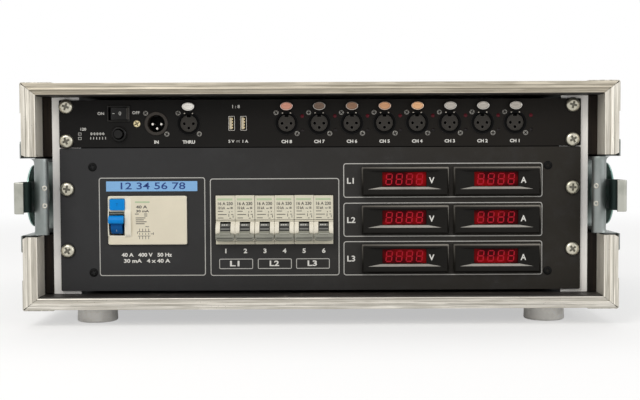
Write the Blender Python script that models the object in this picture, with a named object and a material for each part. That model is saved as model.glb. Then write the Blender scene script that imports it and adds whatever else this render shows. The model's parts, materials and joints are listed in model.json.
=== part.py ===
"""Power distribution box: a four-unit rack flight case that holds a phase distributor and a
signal splitter, with both lids taken off. Metres, +Z up, the control side faces -Y, and the
origin is on the floor under the middle of the case.

Across the case a distance is counted from the middle, and into the case it is counted as a
depth behind the front (or rear) plane of the rim. Front and rear, left and right are mirrored.
"""
import math

import bmesh
import bpy
from mathutils import Vector

# Clearance between pieces that touch, and how far a joined shape sinks into what carries it
GAP = 0.0003
OVERLAP = 0.0002

# Rack standard
RACK_UNIT = 0.04445
SPLITTER_UNITS = 1
DISTRIBUTOR_UNITS = 3
PANEL_WIDTH = 0.4826
PANEL_PLAY = 0.0008
PANEL_THICKNESS = 0.0025
RACK_HOLE_INSET = 0.00875
RACK_HOLE_STEP = RACK_UNIT * 5 / 14
RACK_HOLE_SIZE = 0.0095
RACK_SLOT_LENGTH = 0.010
RACK_SLOT_HEIGHT = 0.0066

# Case body
PANEL_SIDE_ROOM = 0.0157
PANEL_HEADROOM = 0.00265
CASE_DEPTH = 0.420
CASE_LIFT = 0.016
BOARD = 0.0095
EDGE_WALL = 0.0015
RIM_INNER_WALL = 0.0016
RIM_WEB = 0.0052
RIM_OUTER_DEPTH = 0.025
RIM_INNER_DEPTH = 0.027
RIM_BAND = 0.0055
RIM_GROOVE_WIDTH = 0.0024
RIM_GROOVE_DEPTH = 0.0024
RIM_ROUND = 0.0006
ANGLE_LEG = 0.030
BRACE_LEG = 0.030
BRACE_THICKNESS = 0.0012
BRACE_DEPTH = 0.023

# Rack rails and the packers that carry them
PACKER_WIDTH = 0.0101
PACKER_DEPTH = 0.034
RAIL_THICKNESS = 0.0015
RAIL_FLANGE = 0.0251
RAIL_RETURN = 0.032
PANEL_SETBACK = 0.025

# Latches
SHEET = 0.0012
NOTCH_HEIGHT = 0.073
DISH_DEPTH = 0.0149
DISH_LENGTH = 0.071
DISH_FLANGE_HEIGHT = 0.101
DISH_FLANGE_LENGTH = 0.103
DISH_SETBACK = 0.001
DISH_LIP_RADIUS = 0.012
LATCH_SETBACK = 0.042
ROTOR_BOSS_RADIUS = 0.008
ROTOR_PLATE_RADIUS = 0.013
LEAF_POST_REACH = 0.0091
LEAF_POST_HALF = 0.0078
CAM_RADIUS = 0.007
CAM_THROW = 0.0045
CAM_PLAY = 0.0012
WING_RADIUS = 0.029
WING_SHEET = 0.0016
KNUCKLE_RADIUS = 0.0018
KNUCKLE_HALF = 0.0115
KNUCKLE_END = 0.024
HOOK_SHEET = 0.002
HOOK_WIDTH = 0.028
HOOK_RING_WIDTH = 0.033
HOOK_WINDOW_HEIGHT = 0.024
HOOK_REACH = 0.0275
HOOK_CLAW = 0.0087
HOOK_CRANK_SLOPE = 1.4
HOOK_OUTER_FROM_RIM = 0.0002
BOSS_TOP = 0.0058

# Carrying handles
HANDLE_FLANGE_LENGTH = 0.172
HANDLE_FLANGE_HEIGHT = 0.127
HANDLE_POCKET_LENGTH = 0.134
HANDLE_POCKET_HEIGHT = 0.098
HANDLE_POCKET_DEPTH = 0.014
BAIL_RADIUS = 0.004
BAIL_ARM_SPAN = 0.092
BAIL_PIN_SPAN = 0.116
BAIL_DROP = 0.068
BAIL_BEND = 0.006
BAIL_FLOOR_GAP = 0.0069
HANDLE_PIVOT_HEIGHT = 0.037
GRIP_RADIUS = 0.0063
GRIP_LENGTH = 0.074
LUG_LENGTH = 0.010
LUG_HEIGHT = 0.014

# Feet
FOOT_RADIUS = 0.019
FOOT_TAPER = 0.001
FOOT_INSET = 0.0582
FOOT_SETBACK = 0.046
FOOT_SCREW_RADIUS = 0.008
FOOT_SCREW_DEPTH = 0.008

# Distributor: chassis, breakers and meters, measured from the middle of its panel
CHASSIS_SIDE_ROOM = 0.0034
CHASSIS_WALL = 0.0015
DISTRIBUTOR_DEPTH = 0.250
SPLITTER_DEPTH = 0.160
REAR_PLATE_THICKNESS = 0.002
BREAKER_MIDDLE = -0.0005
NOSE_HEIGHT = 0.0452
NOSE_PROUD = 0.0025
CUTOUT_PLAY = 0.0004
RESIDUAL_INSET = 0.0445
RESIDUAL_WIDTH = 0.073
BANK_SHIFT = 0.000175
MODULE_WIDTH = 0.0182
MODULE_COUNT = 6
BODY_SHOULDER = 0.0175
BODY_HEIGHT = 0.086
BODY_DEPTH = 0.0595
RAIL35_HEIGHT = 0.035
RAIL35_TOP = 0.027
RAIL35_DEPTH = 0.0075
RAIL35_SHEET = 0.001
PIVOT_DEPTH = 0.0046
BANK_PIVOT_HEIGHT = -0.0110
RESIDUAL_PIVOT_HEIGHT = -0.0050
SHOULDER_RADIUS = 0.009
HUB_RADIUS = 0.0082
HUB_WIDTH = 0.0093
GRIP_INNER = 0.0095
GRIP_OUTER = 0.0135
GRIP_HALF = 0.0036
NECK_START = 0.0066
NECK_HALF = 0.0022
LEVER_PLAY = 0.0006
LEVER_TILT = math.radians(30)
RESIDUAL_SHOULDER_WIDTH = 0.0222
RESIDUAL_ZONE_INSET = 0.0006
RESIDUAL_ZONE_WIDTH = 0.0154
RESIDUAL_HUB_WIDTH = 0.0105
BUTTON_INSET = 0.0020
BUTTON_WIDTH = 0.0136
BUTTON_TOP = 0.0192
BUTTON_HEIGHT = 0.0103
BUTTON_PROUD = 0.0018
BUTTON_LENGTH = 0.008
BUTTON_TRAVEL = 0.0015
METER_WIDTH = 0.0805
METER_HEIGHT = 0.0268
METER_PROUD = 0.0055
METER_BODY_DEPTH = 0.050
METER_BODY_INSET = 0.0015
METER_INSET = 0.03755
METER_SPACING = 0.0045
METER_ROWS = (0.0344, -0.0011, -0.0371)
METER_WINDOW = (0.0406, 0.0130)
METER_WINDOW_SHIFT = (-0.0008, 0.0012)
METER_WINDOW_SINK = 0.0012

# Rear socket plate
SOCKET_INSET = 0.042
SOCKET_PITCH = 0.060
SOCKET_COUNT = 3
SOCKET_ROWS = (0.0295, -0.0295)
SOCKET_FLANGE = 0.050
SOCKET_FLANGE_THICKNESS = 0.003
SOCKET_BORE_RADIUS = 0.0195
SOCKET_BORE_DEPTH = 0.0145
SOCKET_BODY_RADIUS = 0.0225
SOCKET_BODY_DEPTH = 0.026
INLET_INSET = 0.070
INLET_FLANGE = (0.080, 0.092)
INLET_FLANGE_THICKNESS = 0.004
INLET_SLEEVE_RADIUS = 0.0345
INLET_SLEEVE_WALL = 0.003
INLET_SLEEVE_LENGTH = 0.048
INLET_BODY_RADIUS = 0.033
INLET_BODY_DEPTH = 0.034
INLET_PIN_COUNT = 5
INLET_PIN_CIRCLE = 0.0185
INLET_PIN_RADIUS = 0.003
INLET_EARTH_PIN_RADIUS = 0.0035
INLET_PIN_LENGTH = 0.036

# Splitter front, measured from the middle of its panel
SIGNAL_INLET_INSET = 0.0898
SIGNAL_PITCH = 0.030
OUTPUT_COUNT = 8
OUTPUT_INSET = 0.0609
OUTPUT_PITCH = 0.0302
CONNECTOR_RADIUS = 0.0108
CONNECTOR_PROUD = 0.001
CONNECTOR_BODY_DEPTH = 0.024
SIGNAL_BORE_RADIUS = 0.008
SIGNAL_BORE_DEPTH = 0.013
SIGNAL_PIN_RADIUS = 0.0012
SIGNAL_PIN_CIRCLE = 0.0042
SIGNAL_PIN_RISE = 0.0013
SIGNAL_PIN_RECESS = 0.003
INSERT_RADIUS = 0.0075
INSERT_GROOVE = 0.0016
INSERT_GROOVE_DEPTH = 0.004
INSERT_SINK = 0.0008
TAB_WIDTH = 0.0112
TAB_HEIGHT = 0.0074
TAB_RISE = 0.0155
TAB_THICKNESS = 0.0022
TAB_TRAVEL = 0.002
TAB_STOP = 0.0008
TAB_STEM_WIDTH = 0.006
TAB_STEM_HEIGHT = 0.0026
TAB_STEM_LENGTH = 0.010
PORT_SHIFT = -0.0001
PORT_PITCH = 0.011
PORT_OPENING = (0.0052, 0.0128)
PORT_DEPTH = 0.009
PORT_TONGUE = (0.0018, 0.0110)
PORT_TONGUE_RECESS = 0.0012
PORT_HOUSING_MARGIN = 0.0012
PORT_HOUSING_DEPTH = 0.014
ROCKER_INSET = 0.0551
ROCKER_RISE = 0.0094
ROCKER_FRAME = (0.021, 0.015)
ROCKER_FRAME_PROUD = 0.0015
ROCKER_OPENING = (0.0184, 0.0124)
ROCKER_HALF = 0.0078
ROCKER_TILT = math.radians(10)
ROCKER_PIVOT_DEPTH = 0.0045
ROCKER_CREST = 0.0045
ROCKER_HOUSING_DEPTH = 0.020
ROCKER_WELL = 0.012
TERMINATION_INSET = 0.0554
TERMINATION_RISE = -0.0096
BUSH_RADIUS = 0.007
BUSH_PROUD = 0.003
BUSH_BORE = 0.0043
CAP_RADIUS = 0.0040
CAP_PROUD = 0.0065
CAP_LENGTH = 0.017
CAP_TRAVEL = 0.003
BUSH_BODY_DEPTH = 0.020

# Facets of round pieces, steps of rolled edges and bends, and the sharpest smooth edge
ROUND_PIN = 8
ROUND_SMALL = 12
ROUND_MEDIUM = 20
ROUND_LARGE = 28
ROLL_STEPS = 6
BEND_STEPS = 3
SMOOTH_ANGLE = math.radians(32)

# Values worked out from the sizes above
RIM_FACE = EDGE_WALL + GAP + BOARD + GAP + RIM_INNER_WALL
CASE_WIDTH = PANEL_WIDTH + 2 * (PANEL_SIDE_ROOM + RIM_FACE)
RACK_HEIGHT = (SPLITTER_UNITS + DISTRIBUTOR_UNITS) * RACK_UNIT
CASE_HEIGHT = RACK_HEIGHT + 2 * (PANEL_HEADROOM + BOARD + GAP + EDGE_WALL)
HALF_DEPTH = CASE_DEPTH / 2
HALF_WIDTH = CASE_WIDTH / 2
HALF_HEIGHT = CASE_HEIGHT / 2
CASE_MIDDLE = CASE_LIFT + HALF_HEIGHT
BOARD_OUTER = HALF_WIDTH - EDGE_WALL - GAP
BOARD_INNER = BOARD_OUTER - BOARD
LID_OUTER = HALF_HEIGHT - EDGE_WALL - GAP
LID_INNER = LID_OUTER - BOARD
BOARD_START = RIM_WEB + GAP
PANEL_BACK = PANEL_SETBACK + PANEL_THICKNESS
RAIL_FRONT = PANEL_BACK + GAP
PACKER_FRONT = max(RIM_INNER_DEPTH, RAIL_FRONT) + GAP
PACKER_INNER = BOARD_INNER - PACKER_WIDTH
RAIL_OUTER = PACKER_INNER - GAP
RAIL_INNER = RAIL_OUTER - RAIL_FLANGE
RACK_HOLE_SPAN = PANEL_WIDTH - 2 * RACK_HOLE_INSET
FOOT_SPAN = CASE_WIDTH - 2 * FOOT_INSET
CHASSIS_WIDTH = 2 * (RAIL_INNER - CHASSIS_SIDE_ROOM)
RAIL_HALF = LID_INNER - GAP
RACK_HALF = RACK_HEIGHT / 2
SPLITTER_MIDDLE = CASE_MIDDLE + RACK_HALF - SPLITTER_UNITS * RACK_UNIT / 2
DISTRIBUTOR_MIDDLE = CASE_MIDDLE - RACK_HALF + DISTRIBUTOR_UNITS * RACK_UNIT / 2
CHASSIS_FRONT = PANEL_BACK + GAP
NOTCH_HALF = NOTCH_HEIGHT / 2
DISH_OUTER = HALF_WIDTH + GAP + SHEET
DISH_FLOOR = DISH_OUTER - DISH_DEPTH
ROTOR_BASE = DISH_FLOOR + GAP
HOOK_LOW = ROTOR_BASE + BOSS_TOP
ROTOR_PLATE_LOW = HOOK_LOW + HOOK_SHEET + GAP
ROTOR_PLATE_TOP = ROTOR_PLATE_LOW + WING_SHEET
WING_AXIS = ROTOR_PLATE_TOP + KNUCKLE_RADIUS + GAP
LEAF_INSET = KNUCKLE_RADIUS + 2 * GAP
CAM_SETBACK = LATCH_SETBACK - CAM_THROW
HANDLE_OUTER = BOARD_OUTER + SHEET
HANDLE_FLOOR = HANDLE_OUTER - HANDLE_POCKET_DEPTH
BAIL_AXIS = HANDLE_FLOOR + BAIL_FLOOR_GAP
NOSE_FRONT = PANEL_SETBACK - NOSE_PROUD
LEVER_PIVOT_DEPTH = NOSE_FRONT + PIVOT_DEPTH
PANEL_LEFT = -PANEL_WIDTH / 2
PANEL_RIGHT = PANEL_WIDTH / 2
RESIDUAL_LEFT = PANEL_LEFT + RESIDUAL_INSET
RESIDUAL_RIGHT = RESIDUAL_LEFT + RESIDUAL_WIDTH
RESIDUAL_ZONE_LEFT = RESIDUAL_LEFT + RESIDUAL_ZONE_INSET
BUTTON_LEFT = RESIDUAL_LEFT + BUTTON_INSET
METER_RIGHT_X = PANEL_RIGHT - METER_INSET - METER_WIDTH / 2
METER_COLUMNS = (METER_RIGHT_X - METER_WIDTH - METER_SPACING, METER_RIGHT_X)
METERS_LEFT = METER_COLUMNS[0] - METER_WIDTH / 2
BANK_WIDTH = MODULE_COUNT * MODULE_WIDTH
BANK_LEFT = (RESIDUAL_RIGHT + METERS_LEFT - BANK_WIDTH) / 2 + BANK_SHIFT
SOCKET_COLUMNS = [SOCKET_INSET + SOCKET_PITCH * n - CHASSIS_WIDTH / 2 for n in range(SOCKET_COUNT)]
INLET_X = CHASSIS_WIDTH / 2 - INLET_INSET
CLAW_OUTER = HALF_WIDTH - HOOK_OUTER_FROM_RIM
TAB_REACH = TAB_THICKNESS + TAB_TRAVEL + TAB_STOP
SIGNAL_INLET_X = PANEL_LEFT + SIGNAL_INLET_INSET
THRU_X = SIGNAL_INLET_X + SIGNAL_PITCH
OUTPUT_XS = [PANEL_RIGHT - OUTPUT_INSET - OUTPUT_PITCH * n for n in range(OUTPUT_COUNT)]
PORT_MIDDLE = (THRU_X + OUTPUT_XS[-1]) / 2 + PORT_SHIFT
PORT_CENTRES = (PORT_MIDDLE - PORT_PITCH / 2, PORT_MIDDLE + PORT_PITCH / 2)
ROCKER_CENTRE = (PANEL_LEFT + ROCKER_INSET, ROCKER_RISE)
TERMINATION_CENTRE = (PANEL_LEFT + TERMINATION_INSET, TERMINATION_RISE)
ENDS = {"front": -1, "rear": 1}
SIDES = {"left": -1, "right": 1}


class Frame:
    """An origin and three directions: p and q lie across a shape, and t runs along it."""

    def __init__(self, origin, p, q, t):
        self.origin = Vector(origin)
        self.p = Vector(p)
        self.q = Vector(q)
        self.t = Vector(t)

    def at(self, p, q, t):
        return self.origin + self.p * p + self.q * q + self.t * t


def upright(side, end):
    """Across the case, into it from one end, and up."""
    return Frame((0, end * HALF_DEPTH, CASE_MIDDLE), (side, 0, 0), (0, -end, 0), (0, 0, 1))


def sideways(side, end):
    """Into the case from one end, up, and outward across it."""
    return Frame((0, end * HALF_DEPTH, CASE_MIDDLE), (0, -end, 0), (0, 0, 1), (side, 0, 0))


def facing(middle, end=-1):
    """Across the case, up from the middle of a panel, and into the case from one end."""
    return Frame((0, end * HALF_DEPTH, middle), (1, 0, 0), (0, 0, 1), (0, -end, 0))


def profiled(middle):
    """Into the case, up from the middle of a panel, and across it."""
    return Frame((0, -HALF_DEPTH, middle), (0, 1, 0), (0, 0, 1), (1, 0, 0))


def prism(bm, frame, outline, low, high):
    """A flat outline in p and q, carried from t = low to t = high."""
    bottom = [bm.verts.new(frame.at(p, q, low)) for p, q in outline]
    top = [bm.verts.new(frame.at(p, q, high)) for p, q in outline]
    count = len(outline)
    for i in range(count):
        j = (i + 1) % count
        bm.faces.new((bottom[i], bottom[j], top[j], top[i]))
    bm.faces.new(bottom)
    bm.faces.new(top)
    return bm


def block(bm, frame, p, q, t):
    """A box between two values of p, of q and of t."""
    outline = [(p[0], q[0]), (p[1], q[0]), (p[1], q[1]), (p[0], q[1])]
    return prism(bm, frame, outline, t[0], t[1])


def turned(bm, frame, centre, profile, sides):
    """A profile of (radius, t) turned round the line through centre along t."""
    rings = []
    for radius, t in profile:
        if radius == 0:
            rings.append([bm.verts.new(frame.at(centre[0], centre[1], t))])
            continue
        ring = []
        for i in range(sides):
            angle = 2 * math.pi * (i + 0.5) / sides
            p = centre[0] + radius * math.cos(angle)
            q = centre[1] + radius * math.sin(angle)
            ring.append(bm.verts.new(frame.at(p, q, t)))
        rings.append(ring)
    pairs = list(zip(rings, rings[1:]))
    if profile[0][0] != 0:
        pairs.append((rings[-1], rings[0]))
    for lower, upper in pairs:
        for i in range(sides):
            j = (i + 1) % sides
            corners = [lower[i % len(lower)], lower[j % len(lower)]]
            corners += [upper[j % len(upper)], upper[i % len(upper)]]
            bm.faces.new(list(dict.fromkeys(corners)))
    return bm


def rod(bm, frame, centre, radius, t, sides=ROUND_MEDIUM):
    """A round bar between two values of t."""
    return turned(bm, frame, centre, [(0, t[0]), (radius, t[0]), (radius, t[1]), (0, t[1])], sides)


def slab(bm, frame, centre, size, t):
    """A box of a given size across, round a centre."""
    p = (centre[0] - size[0] / 2, centre[0] + size[0] / 2)
    q = (centre[1] - size[1] / 2, centre[1] + size[1] / 2)
    return block(bm, frame, p, q, t)


def cup(bm, frame, centre, radius, bore, levels, sides=ROUND_MEDIUM):
    """A round cup: levels are its mouth, its floor and its back."""
    mouth, floor, back = levels
    profile = [(0, back), (radius, back), (radius, mouth), (bore, mouth), (bore, floor), (0, floor)]
    return turned(bm, frame, centre, profile, sides)


def tub(bm, holes, frame, centre, outer, inner, levels, through):
    """A square cup, with the hole in its panel halfway up its walls."""
    mouth, floor, back = levels
    rings = []
    for size, t in ((outer, back), (outer, mouth), (inner, mouth), (inner, floor)):
        corners = [(-size[0], -size[1]), (size[0], -size[1]), (size[0], size[1]), (-size[0], size[1])]
        rings.append([bm.verts.new(frame.at(centre[0] + p / 2, centre[1] + q / 2, t)) for p, q in corners])
    for ring, following in zip(rings, rings[1:]):
        for i in range(4):
            j = (i + 1) % 4
            bm.faces.new((ring[i], ring[j], following[j], following[i]))
    bm.faces.new(rings[0])
    bm.faces.new(rings[-1])
    middle = ((outer[0] + inner[0]) / 2, (outer[1] + inner[1]) / 2)
    slab(holes, frame, centre, middle, through)


def arc(centre, radius, start, stop, steps):
    """Points on an arc, with angles counted from +p towards +q."""
    angles = [start + (stop - start) * i / steps for i in range(steps + 1)]
    return [(centre[0] + radius * math.cos(a), centre[1] + radius * math.sin(a)) for a in angles]


def bent_sheet(line, thickness):
    """The outline of a sheet whose one face follows a line, with mitred bends."""
    points = [Vector(p) for p in line]
    offsets = []
    for i, point in enumerate(points):
        before = (point - points[i - 1]).normalized() if i > 0 else None
        after = (points[i + 1] - point).normalized() if i + 1 < len(points) else None
        before = before or after
        after = after or before
        normal = Vector((-before.y - after.y, before.x + after.x)).normalized()
        square = Vector((-before.y, before.x))
        offsets.append(point + normal * (thickness / normal.dot(square)))
    return [tuple(p) for p in points] + [tuple(p) for p in reversed(offsets)]


def material(name, colour, roughness, metallic=0.0):
    made = bpy.data.materials.new(name)
    made.use_nodes = True
    made.diffuse_color = (*colour, 1.0)
    shader = made.node_tree.nodes["Principled BSDF"]
    shader.inputs["Base Color"].default_value = (*colour, 1.0)
    shader.inputs["Roughness"].default_value = roughness
    shader.inputs["Metallic"].default_value = metallic
    return made


def mesh_object(name, bm, origin):
    bmesh.ops.recalc_face_normals(bm, faces=bm.faces)
    bmesh.ops.translate(bm, verts=bm.verts, vec=-Vector(origin))
    mesh = bpy.data.meshes.new(name)
    bm.to_mesh(mesh)
    bm.free()
    mesh.shade_smooth()
    mesh.set_sharp_from_angle(angle=SMOOTH_ANGLE)
    made = bpy.data.objects.new(name, mesh)
    bpy.context.scene.collection.objects.link(made)
    return made


def solid(name, bm, finish, origin=(0, 0, 0), parent=None):
    """One named piece, with its origin where it turns or slides, carried by its parent."""
    made = mesh_object(name, bm, origin)
    made.data.materials.append(finish)
    made.location = Vector(origin)
    if parent:
        made.parent = parent
        made.location = Vector(origin) - parent.location
    return made


def combine(piece, bm, operation):
    """Adds or removes a closed shape, kept beside the piece as a wire guide."""
    guide = mesh_object(f"guide_{len(bpy.data.objects)}", bm, (0, 0, 0))
    guide.hide_render = True
    guide.display_type = "WIRE"
    step = piece.modifiers.new(operation.lower(), "BOOLEAN")
    step.operation = operation
    step.solver = "EXACT"
    step.object = guide
    return piece


def join(piece, bm):
    return combine(piece, bm, "UNION")


def carve(piece, bm):
    return combine(piece, bm, "DIFFERENCE")


# The case: boards, edge angles and rims

def lid_board(name, up, finish):
    """Top or bottom board with the two edge angles that close its long corners."""
    frame = Frame((0, -HALF_DEPTH, CASE_MIDDLE), (1, 0, 0), (0, 0, up), (0, 1, 0))
    edge = BOARD_INNER - GAP
    bm = bmesh.new()
    block(bm, frame, (-edge, edge), (LID_INNER, LID_OUTER), (BOARD_START, CASE_DEPTH - BOARD_START))
    board = solid(name, bm, finish)
    seat = LID_OUTER - OVERLAP
    reach = HALF_WIDTH - ANGLE_LEG
    wall = HALF_WIDTH - EDGE_WALL
    low = HALF_HEIGHT - ANGLE_LEG
    run = (RIM_OUTER_DEPTH + GAP, CASE_DEPTH - RIM_OUTER_DEPTH - GAP)
    for side in SIDES.values():
        outline = [(reach, HALF_HEIGHT)]
        outline += [(HALF_WIDTH - RIM_ROUND, HALF_HEIGHT), (HALF_WIDTH, HALF_HEIGHT - RIM_ROUND)]
        outline += [(HALF_WIDTH, low), (wall, low), (wall, HALF_HEIGHT - EDGE_WALL)]
        outline += [(edge, HALF_HEIGHT - EDGE_WALL), (edge, seat), (reach, seat)]
        angle = bmesh.new()
        prism(angle, frame, [(side * p, q) for p, q in outline], run[0], run[1])
        join(board, angle)
    return board


def side_board(name, side, finish):
    """Side board with its rail packers, its latch notches and the recessed handle dish."""
    middle = Frame((0, 0, CASE_MIDDLE), (side, 0, 0), (0, 1, 0), (0, 0, 1))
    board_half = HALF_DEPTH - BOARD_START
    bm = bmesh.new()
    block(bm, middle, (BOARD_INNER, BOARD_OUTER), (-board_half, board_half), (-LID_OUTER, LID_OUTER))
    board = solid(name, bm, finish)
    packers = bmesh.new()
    for end in ENDS.values():
        depths = (PACKER_FRONT, PACKER_FRONT + PACKER_DEPTH)
        block(packers, upright(side, end), (PACKER_INNER, BOARD_INNER + OVERLAP), depths,
              (-RAIL_HALF, RAIL_HALF))
    join(board, packers)
    notches = bmesh.new()
    notch_depth = DISH_SETBACK + DISH_LENGTH + SHEET + GAP
    for end in ENDS.values():
        block(notches, upright(side, end), (DISH_FLOOR - SHEET - GAP, HALF_WIDTH),
              (-SHEET, notch_depth), (-NOTCH_HALF, NOTCH_HALF))
    carve(board, notches)
    pocket_half = HANDLE_POCKET_LENGTH / 2
    pocket_rise = HANDLE_POCKET_HEIGHT / 2
    flange_half = HANDLE_FLANGE_LENGTH / 2
    flange_rise = HANDLE_FLANGE_HEIGHT / 2
    flange = bmesh.new()
    block(flange, middle, (BOARD_OUTER - OVERLAP, HANDLE_OUTER), (-flange_half, flange_half),
          (-flange_rise, flange_rise))
    join(board, flange)
    pan = bmesh.new()
    block(pan, middle, (HANDLE_FLOOR - SHEET, BOARD_INNER + OVERLAP),
          (-pocket_half - SHEET, pocket_half + SHEET), (-pocket_rise - SHEET, pocket_rise + SHEET))
    join(board, pan)
    pocket = bmesh.new()
    block(pocket, middle, (HANDLE_FLOOR, HANDLE_OUTER + SHEET), (-pocket_half, pocket_half),
          (-pocket_rise, pocket_rise))
    carve(board, pocket)
    lugs = bmesh.new()
    holes = bmesh.new()
    lug_inner = BAIL_ARM_SPAN / 2 + BAIL_RADIUS + SHEET
    for end in ENDS.values():
        lug = sorted((end * lug_inner, end * (lug_inner + LUG_LENGTH)))
        rise = (HANDLE_PIVOT_HEIGHT - LUG_HEIGHT / 2, HANDLE_PIVOT_HEIGHT + LUG_HEIGHT / 2)
        block(lugs, middle, (HANDLE_FLOOR - OVERLAP, BAIL_AXIS + BAIL_RADIUS + SHEET), lug, rise)
        along = Frame(middle.origin, middle.p, middle.t, middle.q)
        rod(holes, along, (BAIL_AXIS, HANDLE_PIVOT_HEIGHT), BAIL_RADIUS + GAP,
            (lug[0] - SHEET, lug[1] + SHEET), ROUND_SMALL)
    join(board, lugs)
    carve(board, holes)
    return board


def rim_outline():
    """Rim section: distance in from the outer face, and depth behind the rim plane."""
    ridge = RIM_BAND + RIM_GROOVE_WIDTH
    inner = RIM_FACE - RIM_INNER_WALL
    outline = [(0, RIM_OUTER_DEPTH), (0, RIM_ROUND), (RIM_ROUND, 0), (RIM_BAND, 0)]
    outline += [(RIM_BAND, RIM_GROOVE_DEPTH), (ridge, RIM_GROOVE_DEPTH), (ridge, 0)]
    outline += [(RIM_FACE - RIM_ROUND, 0), (RIM_FACE, RIM_ROUND), (RIM_FACE, RIM_INNER_DEPTH)]
    outline += [(inner, RIM_INNER_DEPTH), (inner, RIM_WEB), (EDGE_WALL, RIM_WEB)]
    outline += [(EDGE_WALL, RIM_OUTER_DEPTH)]
    return outline


def rim(name, end, up, finish):
    """Half of a rim: its section carried up one side, across and down the other, with mitres,
    and with a flat brace bent round each outer corner."""
    frame = Frame((0, end * HALF_DEPTH, CASE_MIDDLE), (1, 0, 0), (0, 0, up), (0, -end, 0))
    sections = []
    for side in SIDES.values():
        foot = [frame.at(side * (HALF_WIDTH - a), NOTCH_HALF, u) for a, u in rim_outline()]
        corner = [frame.at(side * (HALF_WIDTH - a), HALF_HEIGHT - a, u) for a, u in rim_outline()]
        sections.append((foot, corner))
    path = [sections[0][0], sections[0][1], sections[1][1], sections[1][0]]
    bm = bmesh.new()
    rings = [[bm.verts.new(point) for point in section] for section in path]
    count = len(rings[0])
    for ring, following in zip(rings, rings[1:]):
        for i in range(count):
            j = (i + 1) % count
            bm.faces.new((ring[i], ring[j], following[j], following[i]))
    bm.faces.new(rings[0])
    bm.faces.new(rings[-1])
    made = solid(name, bm, finish)
    for side in SIDES.values():
        wall = HALF_WIDTH - OVERLAP
        roof = HALF_HEIGHT - OVERLAP
        line = [(HALF_WIDTH - BRACE_LEG, roof), (wall, roof), (wall, HALF_HEIGHT - BRACE_LEG)]
        outline = [(side * p, q) for p, q in bent_sheet(line, BRACE_THICKNESS + OVERLAP)]
        brace = bmesh.new()
        prism(brace, frame, outline, DISH_SETBACK, DISH_SETBACK + BRACE_DEPTH)
        join(made, brace)
    return made


def foot(name, side, end, finish):
    """Rubber foot with a sunk screw hole below, screwed to the bottom board."""
    frame = Frame((side * FOOT_SPAN / 2, end * (HALF_DEPTH - FOOT_SETBACK), 0),
                  (1, 0, 0), (0, 1, 0), (0, 0, 1))
    top = CASE_MIDDLE - LID_OUTER - GAP
    profile = [(0, FOOT_SCREW_DEPTH), (FOOT_SCREW_RADIUS, FOOT_SCREW_DEPTH), (FOOT_SCREW_RADIUS, 0)]
    profile += [(FOOT_RADIUS - FOOT_TAPER, 0), (FOOT_RADIUS, FOOT_TAPER)]
    profile += [(FOOT_RADIUS, top - FOOT_TAPER), (FOOT_RADIUS - FOOT_TAPER, top), (0, top)]
    bm = bmesh.new()
    turned(bm, frame, (0, 0), profile, ROUND_MEDIUM)
    return solid(name, bm, finish, frame.origin)


def rack_rail(name, side, end, finish):
    """Angle rail on its packer, with the square holes of the rack standard."""
    frame = upright(side, end)
    inner = RAIL_INNER
    back = RAIL_FRONT + RAIL_THICKNESS
    outline = [(inner, RAIL_FRONT), (RAIL_OUTER, RAIL_FRONT), (RAIL_OUTER, RAIL_FRONT + RAIL_RETURN)]
    outline += [(RAIL_OUTER - RAIL_THICKNESS, RAIL_FRONT + RAIL_RETURN)]
    outline += [(RAIL_OUTER - RAIL_THICKNESS, back), (inner, back)]
    bm = bmesh.new()
    prism(bm, frame, outline, -RAIL_HALF, RAIL_HALF)
    rail = solid(name, bm, finish)
    half = RACK_HOLE_SIZE / 2
    centre = RACK_HOLE_SPAN / 2
    holes = bmesh.new()
    for unit in range(SPLITTER_UNITS + DISTRIBUTOR_UNITS):
        for third in (-1, 0, 1):
            height = (unit + 0.5) * RACK_UNIT + third * RACK_HOLE_STEP - RACK_HALF
            block(holes, frame, (centre - half, centre + half),
                  (RAIL_FRONT - RAIL_THICKNESS, back + RAIL_THICKNESS), (height - half, height + half))
    return carve(rail, holes)


# The latches

def latch_dish(name, side, end, finish):
    """Pressed dish: flange outside, pan through the notch, and a rolled lip at the rim."""
    frame = upright(side, end)
    flange_half = DISH_FLANGE_HEIGHT / 2
    flange_end = DISH_SETBACK + DISH_FLANGE_LENGTH
    pan_half = NOTCH_HALF - GAP - SHEET
    pan_end = DISH_SETBACK + DISH_LENGTH
    bm = bmesh.new()
    block(bm, frame, (DISH_OUTER - SHEET, DISH_OUTER), (DISH_SETBACK, flange_end),
          (-flange_half, flange_half))
    dish = solid(name, bm, finish)
    skirt = bmesh.new()
    block(skirt, frame, (BOARD_OUTER + GAP, DISH_OUTER - OVERLAP),
          (RIM_OUTER_DEPTH + GAP, flange_end), (-flange_half, flange_half))
    join(dish, skirt)
    mouth = bmesh.new()
    block(mouth, frame, (BOARD_OUTER - GAP, DISH_OUTER + SHEET), (DISH_SETBACK - SHEET, pan_end),
          (-pan_half, pan_half))
    carve(dish, mouth)
    centre = (DISH_FLOOR - DISH_LIP_RADIUS, DISH_SETBACK + DISH_LIP_RADIUS)
    lip = arc(centre, DISH_LIP_RADIUS, -math.pi / 2, 0, ROLL_STEPS)
    under = arc(centre, DISH_LIP_RADIUS - SHEET, 0, -math.pi / 2, ROLL_STEPS)
    top = DISH_OUTER - OVERLAP
    outline = lip + [(DISH_FLOOR, pan_end), (top, pan_end), (top, pan_end + SHEET)]
    outline += [(DISH_FLOOR - SHEET, pan_end + SHEET)] + under
    pan = bmesh.new()
    prism(pan, frame, outline, -pan_half - OVERLAP, pan_half + OVERLAP)
    join(dish, pan)
    walls = bmesh.new()
    for up in (-1, 1):
        rise = sorted((up * pan_half, up * (pan_half + SHEET)))
        block(walls, frame, (DISH_FLOOR - OVERLAP, top), (DISH_SETBACK, pan_end + OVERLAP), rise)
    join(dish, walls)
    return dish


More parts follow.
